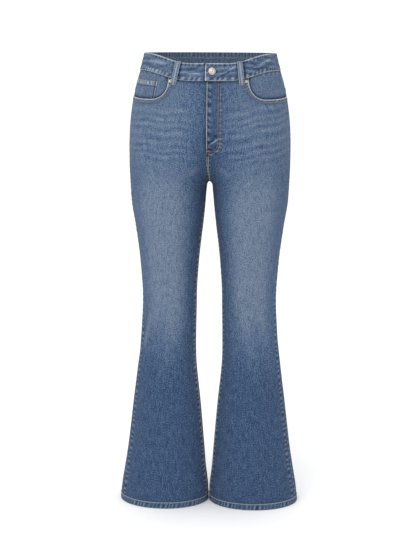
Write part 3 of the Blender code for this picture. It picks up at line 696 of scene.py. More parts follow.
def denim(name, weft=0.0):
    """Washed denim: a twill of dark ribs over pale weft, with upright slubs and cloudy wear.

    The tone attribute moves the colour along a ramp from unwashed to washed, towards the bare
    weft where the cloth is worn, and towards dark where it is shaded.
    """
    material, tree, shader = new_material(name, 0.9, 0.02, 0.22)
    place = add(tree, "UVMap", uv_map="cloth").outputs[0]
    tone = add(tree, "Attribute", attribute_name="tone")
    parts = add(tree, "SeparateColor", {0: tone.outputs["Color"]})
    wash, worn, shade = parts.outputs

    grain = noise_at(tree, place, 420.0, 360.0, 4.0)
    slub = noise_at(tree, place, 480.0, 36.0, 3.0)
    cloud = noise_at(tree, place, 105.0, 70.0, 3.0)
    turned = add(tree, "Mapping", {"Vector": place, "Rotation": (0, 0, math.radians(-27))})
    twill = add(tree, "TexWave", {"Vector": turned.outputs[0], "Scale": 330.0,
                                  "Distortion": 0.6, "Detail": 1.0, "Detail Scale": 2.0})
    ribs = twill.outputs["Fac"]

    # Each noise is centred on nought, weighted and added to the ones before it
    uneven = 0.0
    for noise, weight in ((grain, 2.6), (slub, 0.90), (cloud, 0.60), (ribs, 0.16)):
        centred = work_out(tree, "SUBTRACT", uneven, weight / 2)
        uneven = work_out(tree, "MULTIPLY_ADD", noise, weight, centred)
    depth = work_out(tree, "MULTIPLY_ADD", wash, 0.45, 0.50)
    value = work_out(tree, "MULTIPLY_ADD", uneven, depth, wash)
    value = work_out(tree, "ADD", value, weft)
    ramp = add(tree, "ValToRGB", {0: value})
    ramp.color_ramp.elements.remove(ramp.color_ramp.elements[1])
    ramp.color_ramp.elements[0].color = DENIM_RAMP[0][1]
    for place_on, colour in DENIM_RAMP[1:]:
        ramp.color_ramp.elements.new(place_on).color = colour

    ragged = work_out(tree, "MULTIPLY_ADD", grain, 1.1, 0.45)
    bare = work_out(tree, "MULTIPLY", worn, ragged)
    colour = blended(tree, bare, ramp.outputs[0], (0.40, 0.46, 0.53, 1))
    # painted shade: the shade tone, broken up along the slubs, darkens the colour towards near black
    painted_shade = work_out(tree, "MULTIPLY", shade, work_out(tree, "MULTIPLY_ADD", slub, 0.6, 0.7))
    colour = blended(tree, painted_shade, colour, (0.006, 0.018, 0.048, 1))
    join(tree, colour, shader, "Base Color")

    height = work_out(tree, "MULTIPLY_ADD", slub, 0.8, ribs)
    bumped(tree, shader, work_out(tree, "MULTIPLY_ADD", grain, 0.7, height), 0.55, 0.00035)
    return material


def thread(name, colour, tip):
    """Sewing thread: two plies twisted together, seen as slanted bands along each stitch."""
    material, tree, shader = new_material(name, 0.62, 0.2)
    place = add(tree, "UVMap", uv_map="cloth").outputs[0]
    turned = add(tree, "Mapping", {"Vector": place, "Rotation": (0, 0, math.radians(35))})
    plies = add(tree, "TexWave", {"Vector": turned.outputs[0], "Scale": 260.0})
    cloud = noise_in(tree, 90.0, 1.0)
    share = work_out(tree, "MULTIPLY_ADD", plies.outputs["Fac"], 0.35, cloud)
    share = work_out(tree, "SUBTRACT", share, 0.15)
    join(tree, blended(tree, share, colour, tip), shader, "Base Color")
    bumped(tree, shader, plies.outputs["Fac"], 0.5, 0.0001)
    return material


def brushed_metal(name, colour, dull):
    """Tumbled metal: even colour with cloudy tarnish and a fine scratched grain."""
    material, tree, shader = new_material(name, 0.36)
    shader.inputs["Metallic"].default_value = 1.0
    cloud = noise_in(tree, 420.0, 3.0)
    join(tree, blended(tree, cloud, colour, dull), shader, "Base Color")
    join(tree, work_out(tree, "MULTIPLY_ADD", cloud, 0.25, 0.24), shader, "Roughness")
    bumped(tree, shader, noise_in(tree, 3800.0, 2.0), 0.35, 0.00006)
    return material


def plain_floor():
    """Pale matt floor with a trace of unevenness."""
    material, tree, shader = new_material("floor_paint", 0.9)
    colour = blended(tree, noise_in(tree, 3.0, 2.0), (0.90, 0.90, 0.90, 1), (0.93, 0.93, 0.93, 1))
    join(tree, colour, shader, "Base Color")
    return material


DENIM = denim("denim")
REVERSE = denim("denim_reverse", 0.35)
THREAD_PALE = thread("thread_pale", (0.30, 0.28, 0.255, 1), (0.52, 0.48, 0.44, 1))
THREAD_BLUE = thread("thread_blue", (0.09, 0.12, 0.17, 1), (0.19, 0.23, 0.29, 1))
THREAD_TAN = thread("thread_tan", (0.15, 0.107, 0.085, 1), (0.27, 0.20, 0.155, 1))
NICKEL = brushed_metal("nickel", (0.50, 0.46, 0.42, 1), (0.32, 0.28, 0.26, 1))
TARNISH = brushed_metal("tarnished_nickel", (0.50, 0.46, 0.38, 1), (0.28, 0.25, 0.20, 1))


# ---- mesh helpers ----

def grid_of(rows, columns, ring=False):
    """A grid's corner numbers and its quads, row by row; a ring closes on its first column."""
    index = np.arange(rows * columns).reshape(rows, columns)
    if ring:
        index = np.concatenate([index, index[:, :1]], axis=1)
    return index, np.stack([index[:-1, :-1], index[:-1, 1:], index[1:, 1:], index[1:, :-1]],
                           axis=-1).reshape(-1, 4)


def build(name, points, faces, maps, materials, slots=None, tone=None, smooth=True):
    """A mesh object from whole arrays: points, faces, a map in metres, and tones."""
    mesh = bpy.data.meshes.new(name)
    sizes = np.full(len(faces), faces.shape[1])
    mesh.vertices.add(len(points))
    mesh.vertices.foreach_set("co", points.astype(np.float32).ravel())
    mesh.loops.add(faces.size)
    mesh.loops.foreach_set("vertex_index", faces.astype(np.int32).ravel())
    mesh.polygons.add(len(faces))
    mesh.polygons.foreach_set("loop_start", (np.cumsum(sizes) - sizes).astype(np.int32))
    mesh.update(calc_edges=True)
    layer = mesh.uv_layers.new(name="cloth")
    layer.data.foreach_set("uv", maps[faces.ravel()].astype(np.float32).ravel())
    if tone is not None:
        held = mesh.attributes.new("tone", "FLOAT_COLOR", "POINT")
        held.data.foreach_set("color", tone.astype(np.float32).ravel())
    for material in materials:
        mesh.materials.append(material)
    if slots is not None:
        mesh.polygons.foreach_set("material_index", slots.astype(np.int32))
    if smooth:
        mesh.shade_smooth()
    mesh.validate()
    made = bpy.data.objects.new(name, mesh)
    bpy.context.scene.collection.objects.link(made)
    return made


def spread(count, close=0.75):
    """Shares from 0 to 1 that lie closer together near both ends."""
    t = np.linspace(0.0, 1.0, count)
    return t - close * np.sin(2 * math.pi * t) / (2 * math.pi)


def reached(points, axis):
    """Metres run along a line or along a grid's rows or columns, from 0 at their first point."""
    steps = np.linalg.norm(np.diff(points, axis=axis), axis=-1)
    start = np.zeros_like(np.take(steps, [0], axis=axis))
    return np.concatenate([start, np.cumsum(steps, axis=axis)], axis=axis)


def between(top, low, shares):
    """Rows of heights from a top line to a low line."""
    t = shares[:, None]
    return (1 - t) * top + t * low


def wall(name, angle, z, half, finish, out=0.0, thick=CLOTH, ring=False, inside=None,
         shares=None, reverse=None):
    """A piece of cloth: outer and inner grids joined round the rim, with its edges rolled over.

    The outer grid lies at `out` from the skin plus the finish's relief. Near the open edges it
    drops along a quarter circle whose radius is about half the cloth's thickness.
    """
    angle, z, out = np.broadcast_arrays(angle, z, out)
    base, normal = skin(angle, z, half)
    relief, tone = finish(*(shares or (angle, z)), half)
    across, down = reached(base, 1), reached(base, 0)
    edge = np.minimum(down, down[-1:] - down)
    if not ring:
        edge = np.minimum(edge, np.minimum(across, across[:, -1:] - across))
    radius = thick * 0.5
    inset = np.clip(1 - edge / radius, 0.0, 1.0)
    roll = radius * (1 - np.sqrt(1 - inset ** 2 * 0.98))
    fade = ease(edge / 0.001)
    outer = base + normal * (out + relief * fade - roll)[..., None]
    low_relief, low_tone = (inside or (lambda a, h, s: (0.0 * h, tone)))(angle, z, half)
    inner = base + normal * (out - thick + roll + low_relief * -fade)[..., None]

    rows, columns = angle.shape
    index, faces = grid_of(rows, columns, ring)
    shift = rows * columns
    rims = [index[0, ::-1], index[-1]]
    if not ring:
        rims += [index[:, 0], index[::-1, -1]]
    strips = [np.stack([r[:-1], r[1:], r[1:] + shift, r[:-1] + shift], axis=-1) for r in rims]
    every = np.concatenate([faces, faces[:, ::-1] + shift] + strips)
    if half < 0:
        every = every[:, ::-1]
    middle = across[:, columns // 2][:, None]
    maps = np.stack([across - middle + 0.37 * half, z], axis=-1).reshape(-1, 2)
    slots = np.zeros(len(every))
    slots[len(faces):2 * len(faces)] = 1
    return build(name, np.concatenate([outer.reshape(-1, 3), inner.reshape(-1, 3)]), every,
                 np.concatenate([maps, maps]), [DENIM, reverse or REVERSE], slots,
                 np.concatenate([tone.reshape(-1, 4), low_tone.reshape(-1, 4)]))


def settle(piece, node):
    """The piece stands for one CAD node, which is hidden, and rides on the root body."""
    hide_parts(node)
    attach(piece, "root")
    return piece


SIDE = {1: "left", -1: "right"}


def panel(name, node, share, z, face, half, finish):
    """A front, back or yoke piece by its shares from the side seam to its inner edge."""
    piece = wall(name + SIDE[half], panel_angle(share, z, face, half), z, half, finish)
    return settle(piece, node + SIDE[half])


# ---- the cloth pieces ----

def level_rows(top, step):
    """Heights from `top` to the hem: even, but close round the fork."""
    above = FORK + (top - FORK) * spread(int((top - FORK) / step) + 8, 0.5)[::-1]
    close = FORK - np.array((0.0005, 0.0012, 0.002, 0.003, 0.0042, 0.006, 0.008))
    low = HEM + HEM_HEIGHT + SEAM
    below = np.linspace(close[-1], low, int((close[-1] - low) / step))[1:]
    tail = low + np.array((0.0012, 0.0006, 0.0002, 0.0))
    return np.concatenate([above, close, below[:-1], tail])


def top_shares(step, length):
    """Shares down the upper part of a panel, close at the top edge."""
    first = np.array((0.0, 0.0002, 0.0005, 0.0009, 0.0015)) / length
    rest = np.linspace(0.0025 / length, 1.0, int(length / step))
    return np.concatenate([first, rest])[:-1, None]


def panel_grid(share, top_share, top_z, step, length):
    """Shares and heights of a leg panel: from its top edge to the hip, then level to the hem."""
    t = top_shares(step, length)
    levels = level_rows(HIP, step)
    shares = np.concatenate([(1 - t) * top_share + t * share, np.tile(share, (len(levels), 1))])
    z = np.concatenate([(1 - t) * top_z + t * HIP, np.tile(levels[:, None], (1, len(share)))])
    return shares, z


def front_panel(half):
    """Front leg panel: its top edge follows the pocket opening and then the waistband."""
    share = spread(78)
    scoop_angle, scoop_z = scoop_line(400)
    middle = np.linspace(scoop_angle[-1], math.pi / 2, 200)[1:]
    line_angle = np.concatenate([scoop_angle, middle])
    line_z = np.concatenate([scoop_z, band_seam(middle) - SEAM / 2])
    side = side_edge(line_z, 1)
    line_share = (line_angle - side) / (inner_edge(line_z, 1, half) - side)
    line_share = np.maximum.accumulate(np.clip(line_share, 0.0, 1.0))
    where = np.linspace(0.0, 1.0, len(line_z))
    top_share = np.interp(share, where, line_share)
    top_share[0], top_share[-1] = 0.0, 1.0
    shares, z = panel_grid(share, top_share, np.interp(share, where, line_z), 0.0026, 0.09)
    piece = panel("front_panel_", "front_", shares, z, 1, half, front_finish)


def back_panel(half):
    """Back leg panel, from the yoke seam to the hem."""
    share = spread(70)
    top_z = yoke_seam(-share * math.pi / 2) - SEAM / 2
    share, z = panel_grid(share, share, top_z, 0.0030, 0.075)
    piece = panel("back_panel_", "back_", share, z, -1, half, back_finish)


def yoke(half):
    """Back yoke half, between the waistband and the yoke seam."""
    share = spread(90)
    angle = -share * math.pi / 2
    top, low = band_seam(angle) - SEAM / 2, yoke_seam(angle) + SEAM / 2
    piece = panel("yoke_panel_", "yoke_", share, between(top, low, spread(24)), -1, half, yoke_finish)


def pocket_facing(half):
    """Facing behind the pocket opening; the right one lies deeper, under the coin pocket."""
    corner = scoop_line(12)[0][-1]
    top_angle = np.linspace(0.0, corner + 0.10, 70)
    depth = -(CLOTH + UNDER)
    if half < 0:
        depth -= COIN_CLOTH + UNDER
    z = between(band_seam(top_angle) - SEAM / 2, SCOOP_LOW_Z - FACING_BELOW, spread(40, 0.4))
    side = side_edge(z, 1)
    angle = side + (top_angle - top_angle[0]) / (math.pi / 2) * (math.pi / 2 - side)
    arc = (angle - side) * stretch(side, z)
    flush = (1 - ease((band_seam(top_angle) - z) / 0.006)) * ease((corner - angle) / 0.25)
    flush = np.maximum(flush, 1 - ease(arc / 0.006))
    inside = (z < SCOOP_SIDE_Z + 0.003) | (from_line(point(angle, z, 0), SCOOP_EDGE) < 0.004)
    out = depth * np.where(inside, 1.0, 1 - flush)
    piece = wall("facing_" + SIDE[half], angle, z, half, facing_finish, out=out)
    settle(piece, "pocket_facing_" + SIDE[half])


def coin_pocket():
    """Small pocket on the wearer's right facing, tucked under the front panel's edge."""
    t = spread(36, 0.6)
    across = spread(44, 0.6)
    z = between(COIN_TOP_Z + COIN_SLOPE * across, COIN_LOW_Z, t)
    inner = angle_at(coin_side(t)[:, None], z)
    angle = COIN_SIDE + across * (inner - COIN_SIDE)
    piece = wall("coin_patch", angle, z, -1, coin_finish, out=-(CLOTH + UNDER), thick=COIN_CLOTH)
    settle(piece, "coin_pocket")


def band_angles(count):
    """Angles from the band's under end, round the back, to its lapped end."""
    under = float(angle_at(UNDER_END_X, BAND_LEVEL))
    lap = 2 * math.pi + float(angle_at(LAP_END_X, BAND_LEVEL))
    ends = np.array((0.0, 0.0006, 0.0014, 0.0025, 0.004, 0.006, 0.010, 0.015))
    even = np.linspace(under + 0.022, lap - 0.022, count)
    return np.concatenate([under + ends, even, lap - ends[::-1]]), lap


def band_out(angle, lap):
    """How far the band stands off the skin: proud at its lap, sunk at its under end."""
    out = BAND_PROUD + LAP_RISE * ease((angle - lap + LAP_EASE) / LAP_EASE)
    return out - UNDER_SINK * (1 - ease((angle - math.pi / 2 - 0.06) / (LAP_EASE - 0.06)))


def waistband():
    """One folded strip round the waist; the lapped end has a rounded upper corner."""
    angle, lap = band_angles(640)
    x = point(angle, BAND_LEVEL, 0)[..., 0]
    end = np.where((angle > 2 * math.pi) & (x < 0.01), x - LAP_END_X, 1.0)
    corner = 0.005
    cut = corner - np.sqrt(np.clip(corner ** 2 - np.clip(corner - end, 0, corner) ** 2, 0, None))
    z = between(rim_height(angle) - cut, band_seam(angle) + SEAM / 2, spread(30, 0.8))
    piece = wall("waist_band", angle + 0.0 * z, z, 1, band_finish,
                 out=band_out(angle, lap), thick=BAND_CLOTH, inside=band_inside, reverse=DENIM)
    settle(piece, "waistband")


def loop_line(t, top_angle, rise, slant):
    """Angle, height and stand-off of a belt loop's middle, from 0 at its top to 1."""
    z = rim_height(top_angle) + rise - LOOP_LENGTH * t
    angle = top_angle + slant * (0.4 - t)
    on_band = 1 - ease((t - 0.74) / 0.1)
    stand = LOOP_STAND * (1 - (2 * t - 1) ** 4)
    return angle, z, BAND_PROUD * on_band + SEAM + 0.0002 + stand + LOOP_CLOTH


def belt_loop(name, top_angle, half, rise, slant):
    """Strap that lies on the band at its top, stands off it and is sewn down below the seam."""
    t = spread(48, 0.5)[:, None]
    angle, z, out = loop_line(t, top_angle, rise, slant)
    turn = point(angle + 0.01, z, half) - point(angle, z, half)
    reach = LOOP_WIDTH / 2 / (np.linalg.norm(turn, axis=-1) / 0.01)
    across = 2 * spread(20, 0.8) - 1
    ridge = 0.0003 * np.cos(across * math.pi) + 0.0 * t
    full = name if name == "back" else name + "_" + SIDE[half]
    piece = wall("loop_" + full, angle + across * reach, z, half,
                 lambda a, h, s: (ridge, loop_tone(across, t)), out=out, thick=LOOP_CLOTH)
    settle(piece, "belt_loop_" + full)


def loop_tone(across, t):
    """A belt loop is worn along its folded edges, with a painted highlight down its bowed middle and
    painted shade where it is sewn.
    """
    # the folded edges are paler from wear; the middle is a painted highlight where the loop bows out
    worn = 0.55 * bell(np.abs(across), 1.0, 0.16) + 0.40 * bell(across, 0.0, 0.3)
    # painted shade beside the stitched rows and where the loop is sewn down
    shade = 0.45 * bell(np.abs(across), 0.62, 0.12) + 0.4 * bell(t, 0.93, 0.02)
    return tones(0.70, worn, shade)


def angle_along(distance, z):
    """Back angle at a distance along the cloth from the centre back, for arrays of both."""
    shares = np.linspace(0.0, 1.0, 160)
    fine = (1 - shares) * inner_edge(z[..., None], -1, 1)
    run = reached(point(fine, z[..., None], 0), z.ndim)
    last = np.clip((run < distance[..., None]).sum(axis=-1) - 1, 0, len(shares) - 2)[..., None]
    low, high = (np.take_along_axis(run, last + k, -1) for k in (0, 1))
    share = (distance[..., None] - low) / (high - low)
    first, second = (np.take_along_axis(fine, last + k, -1) for k in (0, 1))
    return (first + share * (second - first))[..., 0]


def pocket_place(across, t):
    """Angle and height on a back pocket at shares across and down."""
    low = POCKET_TOP_Z - POCKET_DEPTH - POCKET_POINT * (1 - np.abs(2 * across - 1))
    z = (1 - t) * POCKET_TOP_Z + t * low
    inner = POCKET_INNER_TOP + (POCKET_INNER_LOW - POCKET_INNER_TOP) * t
    width = POCKET_WIDTH_TOP + (POCKET_WIDTH_LOW - POCKET_WIDTH_TOP) * t
    return angle_along(inner + across * width, z), z


def back_pocket(half):
    """Five-sided patch pocket on the back panel."""
    across, t = np.meshgrid(spread(61, 0.7), spread(56, 0.7))
    angle, z = pocket_place(across, t)
    piece = wall("seat_pocket_" + SIDE[half], angle, z, half, pocket_finish,
                 out=POCKET_GAP + CLOTH, shares=(across, t))
    settle(piece, "back_pocket_" + SIDE[half])


def hem(half):
    """Turned-up hem: a thicker ring round the end of the leg."""
    angle = np.linspace(0.0, 2 * math.pi, 401)[:-1]
    z = HEM + HEM_HEIGHT * (1 - spread(20, 0.8)[:, None])
    piece = wall("leg_hem_" + SIDE[half], angle, z, half, hem_finish, out=HEM_PROUD,
                 thick=HEM_CLOTH, ring=True)
    settle(piece, "hem_" + SIDE[half])


waistband()
for side in (1, -1):
    front_panel(side)
    back_panel(side)
    yoke(side)
    pocket_facing(side)
    back_pocket(side)
    hem(side)
coin_pocket()
for loop in LOOPS:
    belt_loop(*loop)


# ---- thread ----

def shell(angle, z, half, finish=None, out=0.0):
    """Points and normals on a piece's outer face, with the finish's relief."""
    base, normal = skin(angle, z, half)
    lifted = out + (finish(angle, z, half)[0] if finish else 0.0 * base[..., 0])
    return base + normal * lifted[..., None], normal


def unit(rows):
    """The same directions at length 1."""
    return rows / np.maximum(np.linalg.norm(rows, axis=-1, keepdims=True), 1e-12)


def stitches(line, normal, pitch=0.0033, share=0.84, radius=0.00036, lift=0.00012):
    """Stitches along a line: each is a small tube that rises out of the cloth and dives back in.

    A stitch is a profile of radii carried along a shallow arch, with six sides and five rings.
    """
    run = reached(line, 0)
    count = max(int(run[-1] / pitch), 1)
    pitch = run[-1] / count
    t = np.array((0.0, 0.14, 0.5, 0.86, 1.0))
    radii = radius * np.array((0.45, 0.92, 1.0, 0.92, 0.45))
    rise = lift + radius * np.array((-1.1, 0.25, 0.55, 0.25, -1.1))
    where = (np.arange(count)[:, None] + (1 - share) / 2 + share * t) * pitch
    centre, up = (np.stack([np.interp(where, run, rows[:, k]) for k in range(3)], axis=-1)
                  for rows in (line, normal))
    up = unit(up)
    ahead = unit(centre[:, -1:] - centre[:, :1]) + 0.0 * centre
    across = unit(np.cross(ahead, up))
    turn = np.arange(6) * math.pi / 3
    middle = centre + up * rise[:, None]
    ring = np.cos(turn)[:, None] * across[..., None, :] + np.sin(turn)[:, None] * up[..., None, :]
    points = middle[..., None, :] + ring * radii[:, None, None]
    index = np.arange(count * 30).reshape(count, 5, 6)
    index = np.concatenate([index, index[..., :1]], axis=-1)
    faces = np.stack([index[:, :-1, :-1], index[:, 1:, :-1], index[:, 1:, 1:], index[:, :-1, 1:]],
                     axis=-1).reshape(-1, 4)
    caps = np.concatenate([index[:, 0, [0, 1, 2, 3]], index[:, 0, [0, 3, 4, 5]],
                           index[:, -1, [3, 2, 1, 0]], index[:, -1, [5, 4, 3, 0]]])
    maps = np.stack([where[..., None] + 0.0 * turn, 0.0 * where[..., None] + turn * radius],
                    axis=-1)
    return points.reshape(-1, 3), np.concatenate([faces, caps]), maps.reshape(-1, 2)


def single(start, end, normal, radius, lift):
    """One stitch from end to end of a short line."""
    return stitches(np.stack([start, end]), np.stack([normal, normal]), pitch=9.0, share=1.0,
                    radius=radius, lift=lift)


def bar_tack(start, end, normal, width, turns):
    """A bar tack: close zigzag stitches laid side by side across a short bar."""
    t = np.linspace(0.0, 1.0, turns)[:, None]
    ahead = unit(end - start)
    across = unit(np.cross(normal, ahead))
    middle = start + (end - start) * t
    swing = across * width / 2
    slant = (end - start) * 0.4 / turns
    return [single(place - swing, place + swing + slant, normal, 0.00034, 0.00035)
            for place in middle]


class Sewing:
    """Collects stitched lines for one piece of thread work and makes one mesh of them."""

    def __init__(self, name, material):
        """Starts with no stitches."""
        self.name, self.material, self.parts = name, material, []

    def line(self, angle, z, half, finish=None, out=0.0, **facts):
        """A row of stitches along angles and heights."""
        points, normal = shell(angle, z, half, finish, out)
        self.parts.append(stitches(points, normal, **facts))

    def bar(self, angle, z, half, width, out, turns):
        """A bar tack between two angles and heights."""
        points, normal = shell(angle, z, half, None, out)
        self.parts += bar_tack(points[0], points[1], unit(normal.mean(axis=0)), width, turns)

    def finish(self):
        """Makes the mesh, with every stitch facing outwards."""
        sizes = np.cumsum([0] + [len(part[0]) for part in self.parts])
        points = np.concatenate([part[0] for part in self.parts])
        faces = np.concatenate([part[1] + start for part, start in zip(self.parts, sizes)])
        maps = np.concatenate([part[2] for part in self.parts])
        made = build(self.name, points, faces, maps, [self.material])
        face_outwards(made)
        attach(made, "root")


def face_outwards(made):
    """Turns a mesh of closed forms round where the sum of its volumes is below nought."""
    mesh = made.data
    places = np.zeros(len(mesh.vertices) * 3)
    mesh.vertices.foreach_get("co", places)
    places = places.reshape(-1, 3)
    mesh.calc_loop_triangles()
    corners = np.zeros(len(mesh.loop_triangles) * 3, int)
    mesh.loop_triangles.foreach_get("vertices", corners)
    a, b, c = np.moveaxis(places[corners.reshape(-1, 3)], 1, 0)
    if np.sum(a * np.cross(b, c)) < 0:
        mesh.flip_normals()


def beside_scoop(distance, count=160):
    """A line at a distance inside the front panel from the pocket opening's edge."""
    angle, z = scoop_line(count)
    edge = point(angle, z, 0)
    ahead = np.gradient(edge, axis=0)
    away = unit(np.cross(ahead, skin(angle, z, 1)[1]))
    moved = edge - away * distance
    return angle_at(moved[:, 0], moved[:, 2]), moved[:, 2]


def inner_line(distance, z, face, half):
    """Angles at a distance in from a panel's inner edge."""
    edge = inner_edge(z, face, half)
    return edge - face * distance / np.maximum(stretch(edge, z), LEAST_STRETCH)


def band_sewing():
    """Rows round the waistband's top and bottom, down its lapped end, and inside at the back."""
    angle, lap = band_angles(1500)
    angle = angle[(angle > math.pi / 2 + 0.08) & (angle < lap - 0.012)]
    out = band_out(angle, lap)
    sewing = Sewing("thread_waistband", THREAD_PALE)
    sewing.line(angle, rim_height(angle) - BAND_TOP_ROW, 1, band_finish, out)
    sewing.line(angle, band_seam(angle) + BAND_LOW_ROW, 1, band_finish, out)
    z = np.linspace(-0.0045, -0.0365, 30)
    end = 2 * math.pi + angle_at(LAP_END_X + BAND_LOW_ROW, z)
    sewing.line(end, z, 1, band_finish, band_out(end, lap))
    sewing.finish()
    back = np.linspace(math.pi, 2 * math.pi, 500)
    points, normal = skin(back, rim_height(back) - BAND_INSIDE_ROW, 1)
    inside = Sewing("thread_waistband_inside", THREAD_BLUE)
    inside.parts.append(stitches(points + normal * (BAND_PROUD - BAND_CLOTH), -normal))
    inside.finish()


def scoop_sewing(sewing, distance, **facts):
    """A row on each front panel beside its pocket opening."""
    angle, z = beside_scoop(distance)
    keep = angle > side_edge(z, 1) + 0.004
    for half in (1, -1):
        sewing.line(angle[keep], z[keep], half, front_finish, **facts)


def front_sewing():
    """Front panels: pale rows at the pocket openings, inseams and fly edge, tan rows beside them."""
    pale = Sewing("thread_fronts", THREAD_PALE)
    scoop_sewing(pale, SCOOP_ROWS[0])
    for half in (1, -1):
        z = np.linspace(FORK - 0.016, HEM + HEM_HEIGHT + 0.002, 420)
        pale.line(inner_line(INSEAM_ROW, z, 1, half), z, half, front_finish)
    z = np.linspace(-0.0435, -0.186, 120)
    pale.line(inner_line(FLY_EDGE_ROW, z, 1, 1), z, 1, front_finish)
    for distance in BELOW_FLY_ROWS:
        z = np.linspace(-0.203, FORK + 0.004, 60)
        pale.line(inner_line(distance, z, 1, 1), z, 1, front_finish, radius=0.00046)
    pale.finish()

    tan = Sewing("thread_fly_and_pockets", THREAD_TAN)
    scoop_sewing(tan, SCOOP_ROWS[1], radius=0.00042)
    # J-stitch: the inner row moves in by shares of x and z, and both are smoothed over 9 neighbours
    inward = np.array([(-1, 0), (-1, 0), (-0.98, 0.2), (-0.85, 0.5), (-0.6, 0.8), (-0.3, 0.95),
                       (-0.1, 1.0)])
    for distance in FLY_ROWS:
        line = FLY_TURN + distance * inward
        x, z = (np.convolve(np.pad(np.interp(np.linspace(0, 6, 160), np.arange(7), line[:, k]), 4,
                                   mode="edge"), np.ones(9) / 9, "valid") for k in (0, 1))
        tan.line(angle_at(x, z), z, 1, front_finish, radius=0.00052)
    for left, right, height in ((-0.0025, 0.0060, -0.1905), (0.0240, 0.0290, -0.1640)):
        z = np.array((height, height))
        tan.bar(angle_at(np.array((left, right)), z), z, 1, 0.0022, TACK_LIFT, 12)
    tan.finish()


def coin_sewing():
    """Two rows below the coin pocket's top edge and two down its side."""
    sewing = Sewing("thread_coin", THREAD_TAN)
    out = -(CLOTH + UNDER)
    across = np.linspace(0.03, 0.985, 60)
    for drop in COIN_ROWS:
        z = COIN_TOP_Z + COIN_SLOPE * across - drop
        inner = angle_at(coin_side(drop / COIN_DEPTH), z)
        angle = COIN_SIDE + across * (inner - COIN_SIDE)
        sewing.line(angle, z, -1, coin_finish, out, radius=0.00046)
    t = np.linspace(0.03, 0.72, 60)
    z = (1 - t) * (COIN_TOP_Z + COIN_SLOPE) + t * COIN_LOW_Z
    for inset in COIN_SIDE_ROWS:
        sewing.line(angle_at(coin_side(t) + inset, z), z, -1, coin_finish, out)
    sewing.finish()


def back_sewing():
    """Two rows at the yoke seams, down the centre back and round the back pockets."""
    sewing = Sewing("thread_back", THREAD_PALE)
    for half in (1, -1):
        angle = -np.linspace(0.02, math.pi / 2 - 0.004, 240)
        for drop in YOKE_ROWS:
            sewing.line(angle, yoke_seam(angle) - drop, half, back_finish)
        across = np.linspace(0.012, 0.988, 120)
        for drop in POCKET_TOP_ROWS:
            pocket_line(sewing, across, np.full(120, drop), half)
        for inset in POCKET_SIDE_ROWS:
            low = 1 - inset * 0.95
            down = np.linspace(0.012, low, 110)
            pocket_line(sewing, np.full(110, inset), down, half)
            pocket_line(sewing, np.full(110, 1 - inset), down, half)
            level = np.linspace(inset, 1 - inset, 121)
            pocket_line(sewing, level, np.full(121, low), half)
    for inset in YOKE_ROWS:
        z = np.linspace(YOKE_CENTRE - 0.004, FORK + 0.006, 160)
        sewing.line(inner_line(inset, z, -1, 1), z, 1, back_finish)
        z = np.linspace(RIM - BAND_HEIGHT - 0.003, YOKE_CENTRE + 0.003, 60)
        sewing.line(inner_line(inset, z, -1, 1), z, 1, yoke_finish)
    sewing.finish()


def pocket_line(sewing, across, t, half):
    """One row of stitches on a back pocket, by its shares across and down."""
    angle, z = pocket_place(across, t)
    base, normal = skin(angle, z, half)
    relief = pocket_finish(across, t, half)[0]
    lifted = base + normal * (POCKET_GAP + CLOTH + relief)[:, None]
    sewing.parts.append(stitches(lifted, normal))


def hem_sewing():
    """One row of stitches round each hem, near its top."""
    sewing = Sewing("thread_hems", THREAD_PALE)
    angle = np.linspace(0.0, 2 * math.pi, 700)
    for half in (1, -1):
        sewing.line(angle, np.full(700, HEM + HEM_ROW), half, hem_finish, HEM_PROUD)
    sewing.finish()


def loop_sewing():
    """Two rows down each belt loop and bar tacks across both its ends."""
    rows = Sewing("thread_loops", THREAD_BLUE)
    bars = Sewing("bars_loops", THREAD_TAN)
    for _, top_angle, half, rise, slant in LOOPS:
        t = np.linspace(0.06, 0.90, 60)
        angle, z, out = loop_line(t, top_angle, rise, slant)
        reach = LOOP_WIDTH / 2 / stretch(angle, z)
        for side in (-0.62, 0.62):
            rows.line(angle + side * reach, z, half, None, out, radius=0.0003)
        for where in (0.035, 0.955):
            angle, z, out = loop_line(np.array((where, where)), top_angle, rise, slant)
            bars.bar(angle + np.array((-0.86, 0.86)) * reach[:2], z, half, 0.0024, out, 20)
    rows.finish()
    bars.finish()


def buttonhole():
    """Keyhole buttonhole that shows beside the button: close stitches laid across its edge."""
    lap = band_angles(10)[1]
    t = np.linspace(0.0, 2 * math.pi, 61)
    x = BUTTON_X + 0.0060 + 0.0090 * np.cos(t)
    z = BUTTON_Z - 0.0002 + 0.0014 * np.sin(t) * (1 + 0.5 * (np.cos(t) < -0.6))
    ends = 2 * math.pi + angle_at(x, z)
    base, normal = skin(ends, z, 1)
    lifted = base + normal * (band_out(ends, lap) + 0.0001)[:, None]
    sewing = Sewing("thread_buttonhole", THREAD_TAN)
    inward = unit(lifted.mean(axis=0) - lifted) * np.array((0.25, 1.0, 1.0))
    starts, ends = lifted - inward * 0.0009, lifted + inward * 0.0005
    sewing.parts = [single(*pair, 0.0003, 0.0002) for pair in zip(starts[:-1], ends, normal)]
    sewing.finish()


band_sewing()
front_sewing()
coin_sewing()
back_sewing()
hem_sewing()
loop_sewing()
buttonhole()


# ---- fittings ----

def turned(name, node, x, z, half, lift, profile, material, sides):
    """A round fitting: a profile of radius and height turned about the cloth's normal."""
    base, normal = skin(angle_at(x, z), np.array(z), half)
    across = unit(np.cross(np.array([0.0, 0.0, 1.0]), normal))
    along = np.cross(normal, across)
    turn = np.arange(sides) * 2 * math.pi / sides
    ring = np.cos(turn)[:, None] * across + np.sin(turn)[:, None] * along
    radius, height = np.array(profile).T
    points = base + normal * (lift + height[:, None, None]) + ring * radius[:, None, None]
    faces = grid_of(len(radius), sides, ring=True)[1]
    maps = np.stack([radius[:, None] * np.cos(turn), radius[:, None] * np.sin(turn)], axis=-1)
    made = build(name, points.reshape(-1, 3), faces, maps.reshape(-1, 2), [material])
    face_outwards(made)
    settle(made, node)


